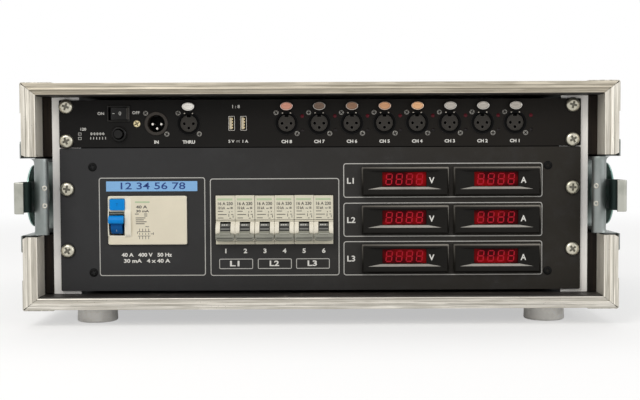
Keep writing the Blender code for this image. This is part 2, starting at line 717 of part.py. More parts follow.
def leaf_outline():
    """Half of the butterfly's disc, cut off just beside the hinge line."""
    reach = math.acos(LEAF_INSET / WING_RADIUS)
    return arc((0, 0), WING_RADIUS, -reach, reach, ROUND_MEDIUM // 2)


def latch_rotor(name, side, end, finish):
    """Turning piece: boss, eccentric cam, cover plate, hinge knuckles and the fixed leaf."""
    frame = sideways(side, end)
    centre = (LATCH_SETBACK, 0)
    bm = bmesh.new()
    rod(bm, frame, centre, ROTOR_BOSS_RADIUS, (ROTOR_BASE, HOOK_LOW - GAP))
    origin = frame.at(LATCH_SETBACK, 0, WING_AXIS)
    rotor = solid(name, bm, finish, origin)
    cam = bmesh.new()
    rod(cam, frame, (CAM_SETBACK, 0), CAM_RADIUS, (HOOK_LOW - GAP - OVERLAP, ROTOR_PLATE_LOW + OVERLAP))
    join(rotor, cam)
    plate = bmesh.new()
    rod(plate, frame, centre, ROTOR_PLATE_RADIUS, (ROTOR_PLATE_LOW, ROTOR_PLATE_TOP))
    join(rotor, plate)
    leaf = bmesh.new()
    outline = leaf_outline()
    tip = outline[-1][1]
    step = KNUCKLE_HALF + GAP
    outline += [(0, tip), (0, step), (LEAF_INSET, step), (LEAF_INSET, -step), (0, -step), (0, -tip)]
    half = WING_SHEET / 2
    prism(leaf, frame, [(LATCH_SETBACK + p, q) for p, q in outline], WING_AXIS - half, WING_AXIS + half)
    join(rotor, leaf)
    post = bmesh.new()
    block(post, frame, (LATCH_SETBACK + LEAF_INSET + SHEET, LATCH_SETBACK + LEAF_POST_REACH),
          (-LEAF_POST_HALF, LEAF_POST_HALF), (ROTOR_PLATE_TOP - OVERLAP, WING_AXIS - half + OVERLAP))
    join(rotor, post)
    knuckles = bmesh.new()
    hinge = upright(side, end)
    for up in (-1, 1):
        rise = sorted((up * (KNUCKLE_HALF + GAP), up * KNUCKLE_END))
        rod(knuckles, hinge, (WING_AXIS, LATCH_SETBACK), KNUCKLE_RADIUS, rise, ROUND_SMALL)
    join(rotor, knuckles)
    return rotor


def latch_wing(name, side, end, finish, rotor):
    """Folding leaf of the butterfly, hinged on the knuckles over the rotor's middle."""
    frame = sideways(side, end)
    half = WING_SHEET / 2
    outline = leaf_outline() + [(LEAF_INSET, KNUCKLE_HALF), (0, KNUCKLE_HALF)]
    outline += [(0, -KNUCKLE_HALF), (LEAF_INSET, -KNUCKLE_HALF)]
    bm = bmesh.new()
    prism(bm, frame, [(LATCH_SETBACK - p, q) for p, q in outline], WING_AXIS - half, WING_AXIS + half)
    wing = solid(name, bm, finish, frame.at(LATCH_SETBACK, 0, WING_AXIS), rotor)
    barrel = bmesh.new()
    rod(barrel, upright(side, end), (WING_AXIS, LATCH_SETBACK), KNUCKLE_RADIUS,
        (-KNUCKLE_HALF, KNUCKLE_HALF), ROUND_SMALL)
    return join(wing, barrel)


def latch_hook(name, side, end, finish):
    """Hook: a ring round the cam, a cranked strap out of the notch, and a claw bent inward."""
    frame = upright(side, end)
    ring_half = HOOK_RING_WIDTH / 2
    window = CAM_RADIUS + CAM_PLAY
    border = (HOOK_RING_WIDTH - HOOK_WINDOW_HEIGHT) / 2
    ring_front = CAM_SETBACK - window - border
    ring_back = CAM_SETBACK + window + border
    high = HOOK_LOW + HOOK_SHEET
    bm = bmesh.new()
    block(bm, frame, (HOOK_LOW, high), (ring_front, ring_back), (-ring_half, ring_half))
    hook = solid(name, bm, finish, frame.at(HOOK_LOW, LATCH_SETBACK, 0))
    opening = bmesh.new()
    block(opening, frame, (HOOK_LOW - SHEET, high + SHEET), (CAM_SETBACK - window, CAM_SETBACK + window),
          (-HOOK_WINDOW_HEIGHT / 2, HOOK_WINDOW_HEIGHT / 2))
    carve(hook, opening)
    crank = LATCH_SETBACK - WING_RADIUS - 2 * CAM_THROW
    line = [(high, ring_front + border / 2), (high, crank + SHEET)]
    line += [(CLAW_OUTER, crank + SHEET - (CLAW_OUTER - high) * HOOK_CRANK_SLOPE)]
    line += [(CLAW_OUTER, -HOOK_REACH + HOOK_SHEET), (CLAW_OUTER - HOOK_SHEET, -HOOK_REACH)]
    line += [(CLAW_OUTER - HOOK_CLAW, -HOOK_REACH)]
    outline = bent_sheet(line[::-1], HOOK_SHEET)
    strap = bmesh.new()
    prism(strap, frame, outline, -HOOK_WIDTH / 2, HOOK_WIDTH / 2)
    return join(hook, strap)


# The carrying handles

def swept_bar(bm, path, radii, sides):
    """A round bar of changing radius along a path that lies in one plane of constant x."""
    flat = Vector((1, 0, 0))
    rings = []
    for i, point in enumerate(path):
        before = path[max(i - 1, 0)]
        after = path[min(i + 1, len(path) - 1)]
        across = (after - before).normalized().cross(flat)
        ring = []
        for k in range(sides):
            angle = 2 * math.pi * (k + 0.5) / sides
            offset = flat * math.cos(angle) + across * math.sin(angle)
            ring.append(bm.verts.new(point + offset * radii[i]))
        rings.append(ring)
    for ring, following in zip(rings, rings[1:]):
        for k in range(sides):
            j = (k + 1) % sides
            bm.faces.new((ring[k], ring[j], following[j], following[k]))
    bm.faces.new(rings[0])
    bm.faces.new(rings[-1])


def handle_grip(name, side, finish):
    """Bail that hangs in the dish from two pins, with a rubber sleeve on its bar."""
    arm = BAIL_ARM_SPAN / 2
    drop = HANDLE_PIVOT_HEIGHT - BAIL_DROP
    sleeve = GRIP_LENGTH / 2
    half = [(BAIL_PIN_SPAN / 2, HANDLE_PIVOT_HEIGHT, BAIL_RADIUS)]
    shoulder = arc((arm + BAIL_RADIUS, HANDLE_PIVOT_HEIGHT - BAIL_RADIUS), BAIL_RADIUS,
                   math.pi / 2, math.pi, BEND_STEPS)
    half += [(p, q, BAIL_RADIUS) for p, q in shoulder]
    bend = arc((arm - BAIL_BEND, drop + BAIL_BEND), BAIL_BEND, 0, -math.pi / 2, BEND_STEPS)
    half += [(p, q, BAIL_RADIUS) for p, q in bend]
    half += [(sleeve, drop, BAIL_RADIUS), (sleeve, drop, GRIP_RADIUS)]
    whole = half + [(-y, z, radius) for y, z, radius in reversed(half)]
    path = [Vector((side * BAIL_AXIS, y, CASE_MIDDLE + z)) for y, z, _ in whole]
    shift = Vector((0, GAP, 0))
    path[len(half) - 1] -= shift
    path[len(half)] += shift
    bm = bmesh.new()
    swept_bar(bm, path, [radius for _, _, radius in whole], ROUND_SMALL)
    return solid(name, bm, finish, (side * BAIL_AXIS, 0, CASE_MIDDLE + HANDLE_PIVOT_HEIGHT))


# The distributor

def panel(name, middle, units, slot_rises, holes, finish):
    """Rack panel with its four screw slots and with the other holes that are handed in."""
    frame = facing(middle)
    half_height = units * RACK_UNIT / 2 - PANEL_PLAY / 2
    bm = bmesh.new()
    block(bm, frame, (-PANEL_WIDTH / 2, PANEL_WIDTH / 2), (-half_height, half_height),
          (PANEL_SETBACK, PANEL_BACK))
    made = solid(name, bm, finish)
    for side in SIDES.values():
        for rise in slot_rises:
            x = side * RACK_HOLE_SPAN / 2
            block(holes, frame, (x - RACK_SLOT_LENGTH / 2, x + RACK_SLOT_LENGTH / 2),
                  (rise - RACK_SLOT_HEIGHT / 2, rise + RACK_SLOT_HEIGHT / 2),
                  (PANEL_SETBACK - SHEET, PANEL_BACK + SHEET))
    return carve(made, holes)


def distributor_panel(finish):
    """Three-unit panel: breaker cut-outs and six meters in two columns."""
    step = RACK_UNIT - RACK_HOLE_STEP
    frame = facing(DISTRIBUTOR_MIDDLE)
    through = (PANEL_SETBACK - SHEET, PANEL_BACK + SHEET)
    half = NOSE_HEIGHT / 2 + CUTOUT_PLAY
    holes = bmesh.new()
    for left, width in ((RESIDUAL_LEFT, RESIDUAL_WIDTH), (BANK_LEFT, BANK_WIDTH)):
        block(holes, frame, (left - CUTOUT_PLAY, left + width + CUTOUT_PLAY),
              (BREAKER_MIDDLE - half, BREAKER_MIDDLE + half), through)
    made = panel("distributor_panel", DISTRIBUTOR_MIDDLE, DISTRIBUTOR_UNITS, (step, -step), holes, finish)
    bezels = bmesh.new()
    bodies = bmesh.new()
    windows = bmesh.new()
    face = PANEL_SETBACK - METER_PROUD
    for x in METER_COLUMNS:
        for z in METER_ROWS:
            slab(bezels, frame, (x, z), (METER_WIDTH, METER_HEIGHT), (face, PANEL_SETBACK + OVERLAP))
            inset = 2 * METER_BODY_INSET
            slab(bodies, frame, (x, z), (METER_WIDTH - inset, METER_HEIGHT - inset),
                 (PANEL_BACK - OVERLAP, PANEL_BACK + METER_BODY_DEPTH))
            centre = (x + METER_WINDOW_SHIFT[0], z + METER_WINDOW_SHIFT[1])
            slab(windows, frame, centre, METER_WINDOW, (face - SHEET, face + METER_WINDOW_SINK))
    join(made, bezels)
    join(made, bodies)
    return carve(made, windows)


def chassis(name, middle, units, depth, closed, finish):
    """Sheet box behind a panel, open to the panel, with or without its own back wall."""
    frame = facing(middle)
    across = CHASSIS_WIDTH / 2
    rise = units * RACK_UNIT / 2 - PANEL_PLAY
    bm = bmesh.new()
    block(bm, frame, (-across, across), (-rise, rise), (CHASSIS_FRONT, CHASSIS_FRONT + depth))
    made = solid(name, bm, finish)
    back = CHASSIS_FRONT + depth - (CHASSIS_WALL if closed else -SHEET)
    room = bmesh.new()
    block(room, frame, (-across + CHASSIS_WALL, across - CHASSIS_WALL),
          (-rise + CHASSIS_WALL, rise - CHASSIS_WALL), (CHASSIS_FRONT - SHEET, back))
    return carve(made, room)


def lever_shoulder(pivot):
    """Side outline of the rounded shoulder that stands out of a breaker round its lever."""
    reach = math.acos(-PIVOT_DEPTH / SHOULDER_RADIUS)
    return arc((LEVER_PIVOT_DEPTH, pivot), SHOULDER_RADIUS, reach, 2 * math.pi - reach, ROLL_STEPS)


def breaker_outline(front, rail_notch):
    """Side outline of a breaker: its front, its nose, its shoulders and its back."""
    top = BREAKER_MIDDLE + NOSE_HEIGHT / 2
    low = BREAKER_MIDDLE - NOSE_HEIGHT / 2
    shoulder = NOSE_FRONT + BODY_SHOULDER
    back = NOSE_FRONT + BODY_DEPTH
    half = BODY_HEIGHT / 2
    outline = [(shoulder, half), (shoulder, top)] + front + [(shoulder, low)]
    outline += [(shoulder, -half), (back, -half)]
    if rail_notch:
        notch = RAIL35_HEIGHT / 2 + GAP
        face = back - RAIL35_SHEET - GAP
        outline += [(back, -notch), (face, -notch), (face, notch), (back, notch)]
    outline += [(back, half)]
    return outline


def lever_slot(bm, frame, pivot, x, width):
    """Well in a breaker that its lever's hub turns in."""
    half = width / 2 + GAP
    well = HUB_RADIUS + GAP
    ahead = LEVER_PIVOT_DEPTH - SHOULDER_RADIUS - SHEET
    block(bm, frame, (ahead, LEVER_PIVOT_DEPTH + well), (pivot - well, pivot + well), (x - half, x + half))


def circuit_breaker_bank(finish):
    """Six breakers side by side on the mounting rail that spans the chassis."""
    frame = profiled(DISTRIBUTOR_MIDDLE)
    top = BREAKER_MIDDLE + NOSE_HEIGHT / 2
    low = BREAKER_MIDDLE - NOSE_HEIGHT / 2
    front = [(NOSE_FRONT, top)] + lever_shoulder(BANK_PIVOT_HEIGHT) + [(NOSE_FRONT, low)]
    bm = bmesh.new()
    prism(bm, frame, breaker_outline(front, False), BANK_LEFT, BANK_LEFT + BANK_WIDTH)
    bank = solid("circuit_breaker_bank", bm, finish)
    slots = bmesh.new()
    for n in range(MODULE_COUNT):
        lever_slot(slots, frame, BANK_PIVOT_HEIGHT, module_middle(n), HUB_WIDTH)
    carve(bank, slots)
    back = NOSE_FRONT + BODY_DEPTH
    half = RAIL35_HEIGHT / 2
    bend = RAIL35_TOP / 2
    sheet = RAIL35_SHEET
    face = back - sheet
    web = face + RAIL35_DEPTH
    outline = [(face, half), (face, bend - sheet), (web - sheet, bend - sheet)]
    outline += [(web - sheet, sheet - bend), (face, sheet - bend), (face, -half)]
    outline += [(back, -half), (back, -bend), (web, -bend), (web, bend), (back, bend), (back, half)]
    reach = CHASSIS_WIDTH / 2 - CHASSIS_WALL - GAP
    rail = bmesh.new()
    prism(rail, frame, outline, -reach, reach)
    return join(bank, rail)


def module_middle(n):
    return BANK_LEFT + (n + 0.5) * MODULE_WIDTH


def residual_breaker_body(finish):
    """Four-module residual current breaker with its shoulder and button well on the left."""
    frame = profiled(DISTRIBUTOR_MIDDLE)
    front = [(NOSE_FRONT, BREAKER_MIDDLE + NOSE_HEIGHT / 2), (NOSE_FRONT, BREAKER_MIDDLE - NOSE_HEIGHT / 2)]
    bm = bmesh.new()
    prism(bm, frame, breaker_outline(front, True), RESIDUAL_LEFT, RESIDUAL_LEFT + RESIDUAL_WIDTH)
    body = solid("residual_breaker_body", bm, finish)
    zone = lever_shoulder(RESIDUAL_PIVOT_HEIGHT)
    root = NOSE_FRONT + OVERLAP
    shoulder = bmesh.new()
    prism(shoulder, frame, zone + [(root, zone[-1][1]), (root, zone[0][1])],
          RESIDUAL_LEFT, RESIDUAL_LEFT + RESIDUAL_SHOULDER_WIDTH)
    join(body, shoulder)
    slot = bmesh.new()
    lever_slot(slot, frame, RESIDUAL_PIVOT_HEIGHT, residual_lever_middle(), RESIDUAL_HUB_WIDTH)
    carve(body, slot)
    well = bmesh.new()
    block(well, frame, (NOSE_FRONT - SHEET, NOSE_FRONT + BUTTON_LENGTH + BUTTON_TRAVEL + GAP),
          (BUTTON_TOP - BUTTON_HEIGHT - GAP, BUTTON_TOP + GAP),
          (BUTTON_LEFT - GAP, BUTTON_LEFT + BUTTON_WIDTH + GAP))
    return carve(body, well)


def residual_lever_middle():
    return RESIDUAL_ZONE_LEFT + RESIDUAL_ZONE_WIDTH / 2


def lever(name, x, pivot, grip_width, hub_width, tilt, finish):
    """Toggle: a hub on the pivot line, and a wide grip on a short neck, tilted up or down."""
    forward = Vector((0, -math.cos(tilt), math.sin(tilt)))
    upward = Vector((0, math.sin(tilt), math.cos(tilt)))
    origin = (x, -HALF_DEPTH + LEVER_PIVOT_DEPTH, DISTRIBUTOR_MIDDLE + pivot)
    frame = Frame(origin, forward, upward, (1, 0, 0))
    half = hub_width / 2
    bm = bmesh.new()
    rod(bm, frame, (0, 0), HUB_RADIUS, (-half, half))
    made = solid(name, bm, finish, origin)
    neck = bmesh.new()
    block(neck, frame, (NECK_START, GRIP_INNER + SHEET), (-NECK_HALF, NECK_HALF),
          (-half + GAP, half - GAP))
    join(made, neck)
    grip = bmesh.new()
    block(grip, frame, (GRIP_INNER, GRIP_OUTER), (-GRIP_HALF, GRIP_HALF),
          (-grip_width / 2, grip_width / 2))
    return join(made, grip)


def residual_test_button(finish):
    frame = facing(DISTRIBUTOR_MIDDLE)
    bm = bmesh.new()
    block(bm, frame, (BUTTON_LEFT, BUTTON_LEFT + BUTTON_WIDTH), (BUTTON_TOP - BUTTON_HEIGHT, BUTTON_TOP),
          (NOSE_FRONT - BUTTON_PROUD, NOSE_FRONT + BUTTON_LENGTH))
    origin = frame.at(BUTTON_LEFT + BUTTON_WIDTH / 2, BUTTON_TOP - BUTTON_HEIGHT / 2, NOSE_FRONT)
    return solid("residual_breaker_test_button", bm, finish, origin)


def rear_socket_plate(finish):
    """Rear plate with six mains sockets in two rows and a five-pin power inlet."""
    plate_front = CHASSIS_FRONT + DISTRIBUTOR_DEPTH + GAP
    plate_back = plate_front + REAR_PLATE_THICKNESS
    frame = Frame((0, -HALF_DEPTH + plate_back, DISTRIBUTOR_MIDDLE), (1, 0, 0), (0, 0, 1), (0, 1, 0))
    across = CHASSIS_WIDTH / 2
    rise = DISTRIBUTOR_UNITS * RACK_UNIT / 2 - PANEL_PLAY
    bm = bmesh.new()
    block(bm, frame, (-across, across), (-rise, rise), (-REAR_PLATE_THICKNESS, 0))
    plate = solid("rear_socket_plate", bm, finish)
    flanges = bmesh.new()
    bodies = bmesh.new()
    bores = bmesh.new()
    face = SOCKET_FLANGE_THICKNESS
    half = SOCKET_FLANGE / 2
    for x in SOCKET_COLUMNS:
        for z in SOCKET_ROWS:
            block(flanges, frame, (x - half, x + half), (z - half, z + half), (-OVERLAP, face))
            rod(bodies, frame, (x, z), SOCKET_BODY_RADIUS, (-SOCKET_BODY_DEPTH, -OVERLAP), ROUND_LARGE)
            rod(bores, frame, (x, z), SOCKET_BORE_RADIUS, (face - SOCKET_BORE_DEPTH, face + SHEET),
                ROUND_LARGE)
    wide = INLET_FLANGE[0] / 2
    tall = INLET_FLANGE[1] / 2
    block(flanges, frame, (INLET_X - wide, INLET_X + wide), (-tall, tall), (-OVERLAP, INLET_FLANGE_THICKNESS))
    rod(bodies, frame, (INLET_X, 0), INLET_BODY_RADIUS, (-INLET_BODY_DEPTH, -OVERLAP), ROUND_LARGE)
    join(plate, flanges)
    join(plate, bodies)
    carve(plate, bores)
    sleeve = bmesh.new()
    inner = INLET_SLEEVE_RADIUS - INLET_SLEEVE_WALL
    floor = INLET_FLANGE_THICKNESS - OVERLAP
    profile = [(inner, floor), (INLET_SLEEVE_RADIUS, floor), (INLET_SLEEVE_RADIUS, INLET_SLEEVE_LENGTH)]
    profile += [(inner, INLET_SLEEVE_LENGTH)]
    turned(sleeve, frame, (INLET_X, 0), profile, ROUND_LARGE)
    join(plate, sleeve)
    pins = bmesh.new()
    for n in range(INLET_PIN_COUNT):
        angle = -math.pi / 2 + 2 * math.pi * n / INLET_PIN_COUNT
        radius = INLET_PIN_RADIUS if n else INLET_EARTH_PIN_RADIUS
        centre = (INLET_X + INLET_PIN_CIRCLE * math.cos(angle), INLET_PIN_CIRCLE * math.sin(angle))
        rod(pins, frame, centre, radius, (floor, INLET_PIN_LENGTH), ROUND_SMALL)
    return join(plate, pins)


# The splitter

def splitter_panel(finish):
    """One-unit panel: rocker frame, button bush, signal inlet, thru socket, two charging
    ports and eight outputs, with a slot over each socket for its release tab."""
    frame = facing(SPLITTER_MIDDLE)
    through = (PANEL_SETBACK - SHEET, PANEL_BACK + SHEET)
    proud = PANEL_SETBACK - CONNECTOR_PROUD
    back = PANEL_BACK + CONNECTOR_BODY_DEPTH
    sockets = [THRU_X] + OUTPUT_XS
    holes = bmesh.new()
    shells = bmesh.new()
    inner = bmesh.new()
    for x in [SIGNAL_INLET_X] + sockets:
        rod(holes, frame, (x, 0), CONNECTOR_RADIUS - SHEET / 2, through)
    cup(shells, frame, (SIGNAL_INLET_X, 0), CONNECTOR_RADIUS, SIGNAL_BORE_RADIUS,
        (proud, proud + SIGNAL_BORE_DEPTH, back))
    for n in range(3):
        drop = -SIGNAL_PIN_CIRCLE if n == 1 else SIGNAL_PIN_RISE
        across = SIGNAL_PIN_CIRCLE * (n - 1)
        rod(inner, frame, (SIGNAL_INLET_X + across, drop), SIGNAL_PIN_RADIUS,
            (proud + SIGNAL_PIN_RECESS, proud + SIGNAL_BORE_DEPTH + SHEET), ROUND_PIN)
    outer = INSERT_RADIUS + INSERT_GROOVE
    deep = proud + INSERT_GROOVE_DEPTH
    profile = [(0, back), (CONNECTOR_RADIUS, back), (CONNECTOR_RADIUS, proud), (outer, proud)]
    profile += [(outer, deep), (INSERT_RADIUS, deep), (INSERT_RADIUS, proud + INSERT_SINK)]
    profile += [(0, proud + INSERT_SINK)]
    half = TAB_STEM_WIDTH / 2 + GAP
    rise = TAB_STEM_HEIGHT / 2 + GAP
    for x in sockets:
        turned(shells, frame, (x, 0), profile, ROUND_MEDIUM)
        block(holes, frame, (x - half, x + half), (TAB_RISE - rise, TAB_RISE + rise), through)
    front = PANEL_SETBACK - BUSH_PROUD
    rod(holes, frame, TERMINATION_CENTRE, BUSH_RADIUS - SHEET, through)
    cup(shells, frame, TERMINATION_CENTRE, BUSH_RADIUS, BUSH_BORE,
        (front, PANEL_SETBACK - CAP_PROUD + CAP_LENGTH + CAP_TRAVEL + GAP, PANEL_BACK + BUSH_BODY_DEPTH))
    tub(shells, holes, frame, ROCKER_CENTRE, ROCKER_FRAME, ROCKER_OPENING,
        (PANEL_SETBACK - ROCKER_FRAME_PROUD, PANEL_SETBACK + ROCKER_WELL,
         PANEL_BACK + ROCKER_HOUSING_DEPTH), through)
    margin = 2 * PORT_HOUSING_MARGIN
    housing = (PORT_OPENING[0] + margin, PORT_OPENING[1] + margin)
    wide = PORT_TONGUE[0] / 2
    tall = PORT_TONGUE[1] / 2
    for x in PORT_CENTRES:
        tub(shells, holes, frame, (x, 0), housing, PORT_OPENING,
            (PANEL_SETBACK + GAP, PANEL_SETBACK + PORT_DEPTH, PANEL_BACK + PORT_HOUSING_DEPTH), through)
        block(inner, frame, (x - wide, x + wide), (-tall, tall),
              (PANEL_SETBACK + PORT_TONGUE_RECESS, PANEL_SETBACK + PORT_DEPTH + SHEET))
    made = panel("splitter_panel", SPLITTER_MIDDLE, SPLITTER_UNITS,
                 (RACK_HOLE_STEP, -RACK_HOLE_STEP), holes, finish)
    join(made, shells)
    return join(made, inner)


def power_rocker(finish):
    """Rocker of the splitter's power switch, tipped to its off side, on the right."""
    origin = Vector((ROCKER_CENTRE[0], -HALF_DEPTH + PANEL_SETBACK + ROCKER_PIVOT_DEPTH,
                     SPLITTER_MIDDLE + ROCKER_CENTRE[1]))
    across = Vector((math.cos(ROCKER_TILT), math.sin(ROCKER_TILT), 0))
    forward = Vector((math.sin(ROCKER_TILT), -math.cos(ROCKER_TILT), 0))
    frame = Frame(origin, across, forward, (0, 0, 1))
    end = ROCKER_CREST + ROCKER_HALF * math.tan(ROCKER_TILT)
    outline = [(-ROCKER_HALF, end), (0, ROCKER_CREST), (ROCKER_HALF, end), (ROCKER_HALF, end / 3)]
    outline += [(ROCKER_HALF / 2, -end / 2), (-ROCKER_HALF / 2, -end / 2), (-ROCKER_HALF, end / 3)]
    rise = ROCKER_OPENING[1] / 2 - GAP
    bm = bmesh.new()
    prism(bm, frame, outline, -rise, rise)
    return solid("power_rocker", bm, finish, origin)


def termination_button(finish):
    frame = facing(SPLITTER_MIDDLE)
    front = PANEL_SETBACK - CAP_PROUD
    bm = bmesh.new()
    rod(bm, frame, TERMINATION_CENTRE, CAP_RADIUS, (front, front + CAP_LENGTH))
    return solid("termination_button", bm, finish, frame.at(*TERMINATION_CENTRE, front))


def release_tab(name, x, finish):
    """Push tab over a socket: an oval thumb plate on a stem that slides through the panel."""
    frame = facing(SPLITTER_MIDDLE)
    front = PANEL_SETBACK - TAB_REACH
    radius = TAB_HEIGHT / 2
    straight = TAB_WIDTH / 2 - radius
    outline = arc((x + straight, TAB_RISE), radius, -math.pi / 2, math.pi / 2, ROLL_STEPS)
    outline += arc((x - straight, TAB_RISE), radius, math.pi / 2, math.pi * 3 / 2, ROLL_STEPS)
    bm = bmesh.new()
    prism(bm, frame, outline, front, front + TAB_THICKNESS)
    tab = solid(name, bm, finish, frame.at(x, TAB_RISE, front))
    half = TAB_STEM_WIDTH / 2
    rise = TAB_STEM_HEIGHT / 2
    stem = bmesh.new()
    block(stem, frame, (x - half, x + half), (TAB_RISE - rise, TAB_RISE + rise),
          (front + TAB_THICKNESS / 2, front + TAB_STEM_LENGTH))
    return join(tab, stem)


def clear_scene():
    for found in list(bpy.data.objects):
        bpy.data.objects.remove(found, do_unlink=True)


def build():
    clear_scene()
    laminate = material("black_laminate", (0.020, 0.018, 0.018), 0.55)
    aluminium = material("scuffed_aluminium", (0.66, 0.63, 0.57), 0.38, 1.0)
    zinc = material("zinc_plate", (0.52, 0.54, 0.53), 0.36, 1.0)
    rubber = material("grey_rubber", (0.30, 0.30, 0.30), 0.85)
    powder = material("black_powder_coat", (0.016, 0.015, 0.015), 0.50)
    steel = material("rail_steel", (0.60, 0.60, 0.58), 0.42, 1.0)
    cream = material("breaker_cream", (0.66, 0.58, 0.46), 0.42)
    blue = material("control_blue", (0.012, 0.24, 0.67), 0.35)
    grey = material("lever_grey", (0.27, 0.29, 0.27), 0.40)
    black = material("black_plastic", (0.012, 0.012, 0.013), 0.32)
    nickel = material("bright_nickel", (0.80, 0.78, 0.74), 0.22, 1.0)

    lid_board("top_panel", 1, laminate)
    lid_board("bottom_panel", -1, laminate)
    for side_name, side in SIDES.items():
        side_board(f"{side_name}_side_panel", side, laminate)
        handle_grip(f"{side_name}_handle_grip", side, rubber)
    for end_name, end in ENDS.items():
        rim(f"{end_name}_upper_rim", end, 1, aluminium)
        rim(f"{end_name}_lower_rim", end, -1, aluminium)
        for side_name, side in SIDES.items():
            corner = f"{end_name}_{side_name}"
            foot(f"{corner}_foot", side, end, rubber)
            rack_rail(f"{corner}_rack_rail", side, end, steel)
            latch_dish(f"{corner}_latch_dish", side, end, zinc)
            rotor = latch_rotor(f"{corner}_latch_rotor", side, end, zinc)
            latch_wing(f"{corner}_latch_wing", side, end, zinc, rotor)
            latch_hook(f"{corner}_latch_hook", side, end, zinc)

    distributor_panel(powder)
    chassis("distributor_chassis", DISTRIBUTOR_MIDDLE, DISTRIBUTOR_UNITS, DISTRIBUTOR_DEPTH, False, powder)
    rear_socket_plate(powder)
    residual_breaker_body(cream)
    lever("residual_breaker_lever", residual_lever_middle(), RESIDUAL_PIVOT_HEIGHT,
          RESIDUAL_ZONE_WIDTH - 2 * LEVER_PLAY, RESIDUAL_HUB_WIDTH, LEVER_TILT, blue)
    residual_test_button(blue)
    circuit_breaker_bank(cream)
    for n in range(MODULE_COUNT):
        lever(f"circuit_breaker_lever_{n + 1}", module_middle(n), BANK_PIVOT_HEIGHT,
              MODULE_WIDTH - LEVER_PLAY, HUB_WIDTH, -LEVER_TILT, grey)

    splitter_panel(powder)
    chassis("splitter_chassis", SPLITTER_MIDDLE, SPLITTER_UNITS, SPLITTER_DEPTH, True, powder)
    power_rocker(black)
    termination_button(black)
    release_tab("thru_socket_tab", THRU_X, nickel)
    for n, x in enumerate(OUTPUT_XS):
        release_tab(f"output_{n + 1}_tab", x, nickel)


build()
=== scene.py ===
"""Looks of the power distribution box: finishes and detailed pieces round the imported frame.

Sizes are millimetres, and a Place turns them into the frame's metres. On a Place, p and q lie
across a face and t stands out of it.
"""
import json
import math

import bmesh
import bpy
import numpy as np
from mathutils import Matrix, Vector
from mathutils.geometry import tessellate_polygon

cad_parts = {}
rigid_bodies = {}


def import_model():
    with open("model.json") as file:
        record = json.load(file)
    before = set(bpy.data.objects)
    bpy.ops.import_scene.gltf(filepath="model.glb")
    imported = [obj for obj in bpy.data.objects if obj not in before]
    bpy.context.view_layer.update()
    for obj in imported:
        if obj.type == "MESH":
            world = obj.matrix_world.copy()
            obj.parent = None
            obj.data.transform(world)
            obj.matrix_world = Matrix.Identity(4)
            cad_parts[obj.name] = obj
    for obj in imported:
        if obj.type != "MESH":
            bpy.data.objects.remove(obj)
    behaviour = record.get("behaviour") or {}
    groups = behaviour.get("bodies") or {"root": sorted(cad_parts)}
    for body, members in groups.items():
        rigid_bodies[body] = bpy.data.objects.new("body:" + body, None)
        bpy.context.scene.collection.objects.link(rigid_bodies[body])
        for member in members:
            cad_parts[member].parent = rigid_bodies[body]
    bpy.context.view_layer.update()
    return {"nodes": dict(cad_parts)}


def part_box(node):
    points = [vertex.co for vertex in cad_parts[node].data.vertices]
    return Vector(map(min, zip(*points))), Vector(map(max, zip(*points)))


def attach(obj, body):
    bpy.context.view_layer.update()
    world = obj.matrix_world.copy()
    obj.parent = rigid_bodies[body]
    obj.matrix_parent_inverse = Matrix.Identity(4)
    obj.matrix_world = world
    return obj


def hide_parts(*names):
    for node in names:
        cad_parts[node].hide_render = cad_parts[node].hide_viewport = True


for found in list(bpy.data.objects):
    bpy.data.objects.remove(found, do_unlink=True)

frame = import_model()
nodes = frame["nodes"]

MM = 0.001
X = (1, 0, 0)
Y = (0, 1, 0)
Z = (0, 0, 1)
SIDES = {"left": -1, "right": 1}
ENDS = {"front": -1, "rear": 1}
CORNERS = {f"{end_name}_{side_name}": (side, end) for end_name, end in ENDS.items()
           for side_name, side in SIDES.items()}
LEVELS = {"upper": 1, "lower": -1}

# Case
CASE_WIDTH = 540.4
CASE_HEIGHT = 205.7
CASE_DEPTH = 420.0
CASE_MIDDLE = 118.85
CENTRE = (0, 0, CASE_MIDDLE * MM)
HALF_WIDTH = CASE_WIDTH / 2
HALF_HEIGHT = CASE_HEIGHT / 2
HALF_DEPTH = CASE_DEPTH / 2
GAP = 0.3
# Mark of painted shade on the rim's inner wall
WALL_SHADE = -0.35
EDGE_WALL = 1.5
BOARD = 9.5
BOARD_OUTER = HALF_WIDTH - EDGE_WALL - GAP
BOARD_INNER = BOARD_OUTER - BOARD
LID_OUTER = HALF_HEIGHT - EDGE_WALL - GAP
LID_INNER = LID_OUTER - BOARD
BOARD_START = 5.5
RIM_FACE = 13.2
BAR_FACE = 10.4
LEG_ROUND = 2.8
RIM_OUTER_DEPTH = 25.0
RIM_INNER_DEPTH = 27.0
RIM_WEB = 5.2
RIM_WALL = 1.6
MITRE_GAP = 0.2
ANGLE_LEG = 30.0
BRACE_LEG = 27.0
BRACE_SHEET = 0.9
BRACE_START = 1.0
BRACE_DEPTH = 23.0
NOTCH_HALF = 36.5
PACKER_FRONT = 28.1
PACKER_DEPTH = 34.0
PACKER_WIDTH = 10.1
RAIL_HALF = LID_INNER - GAP

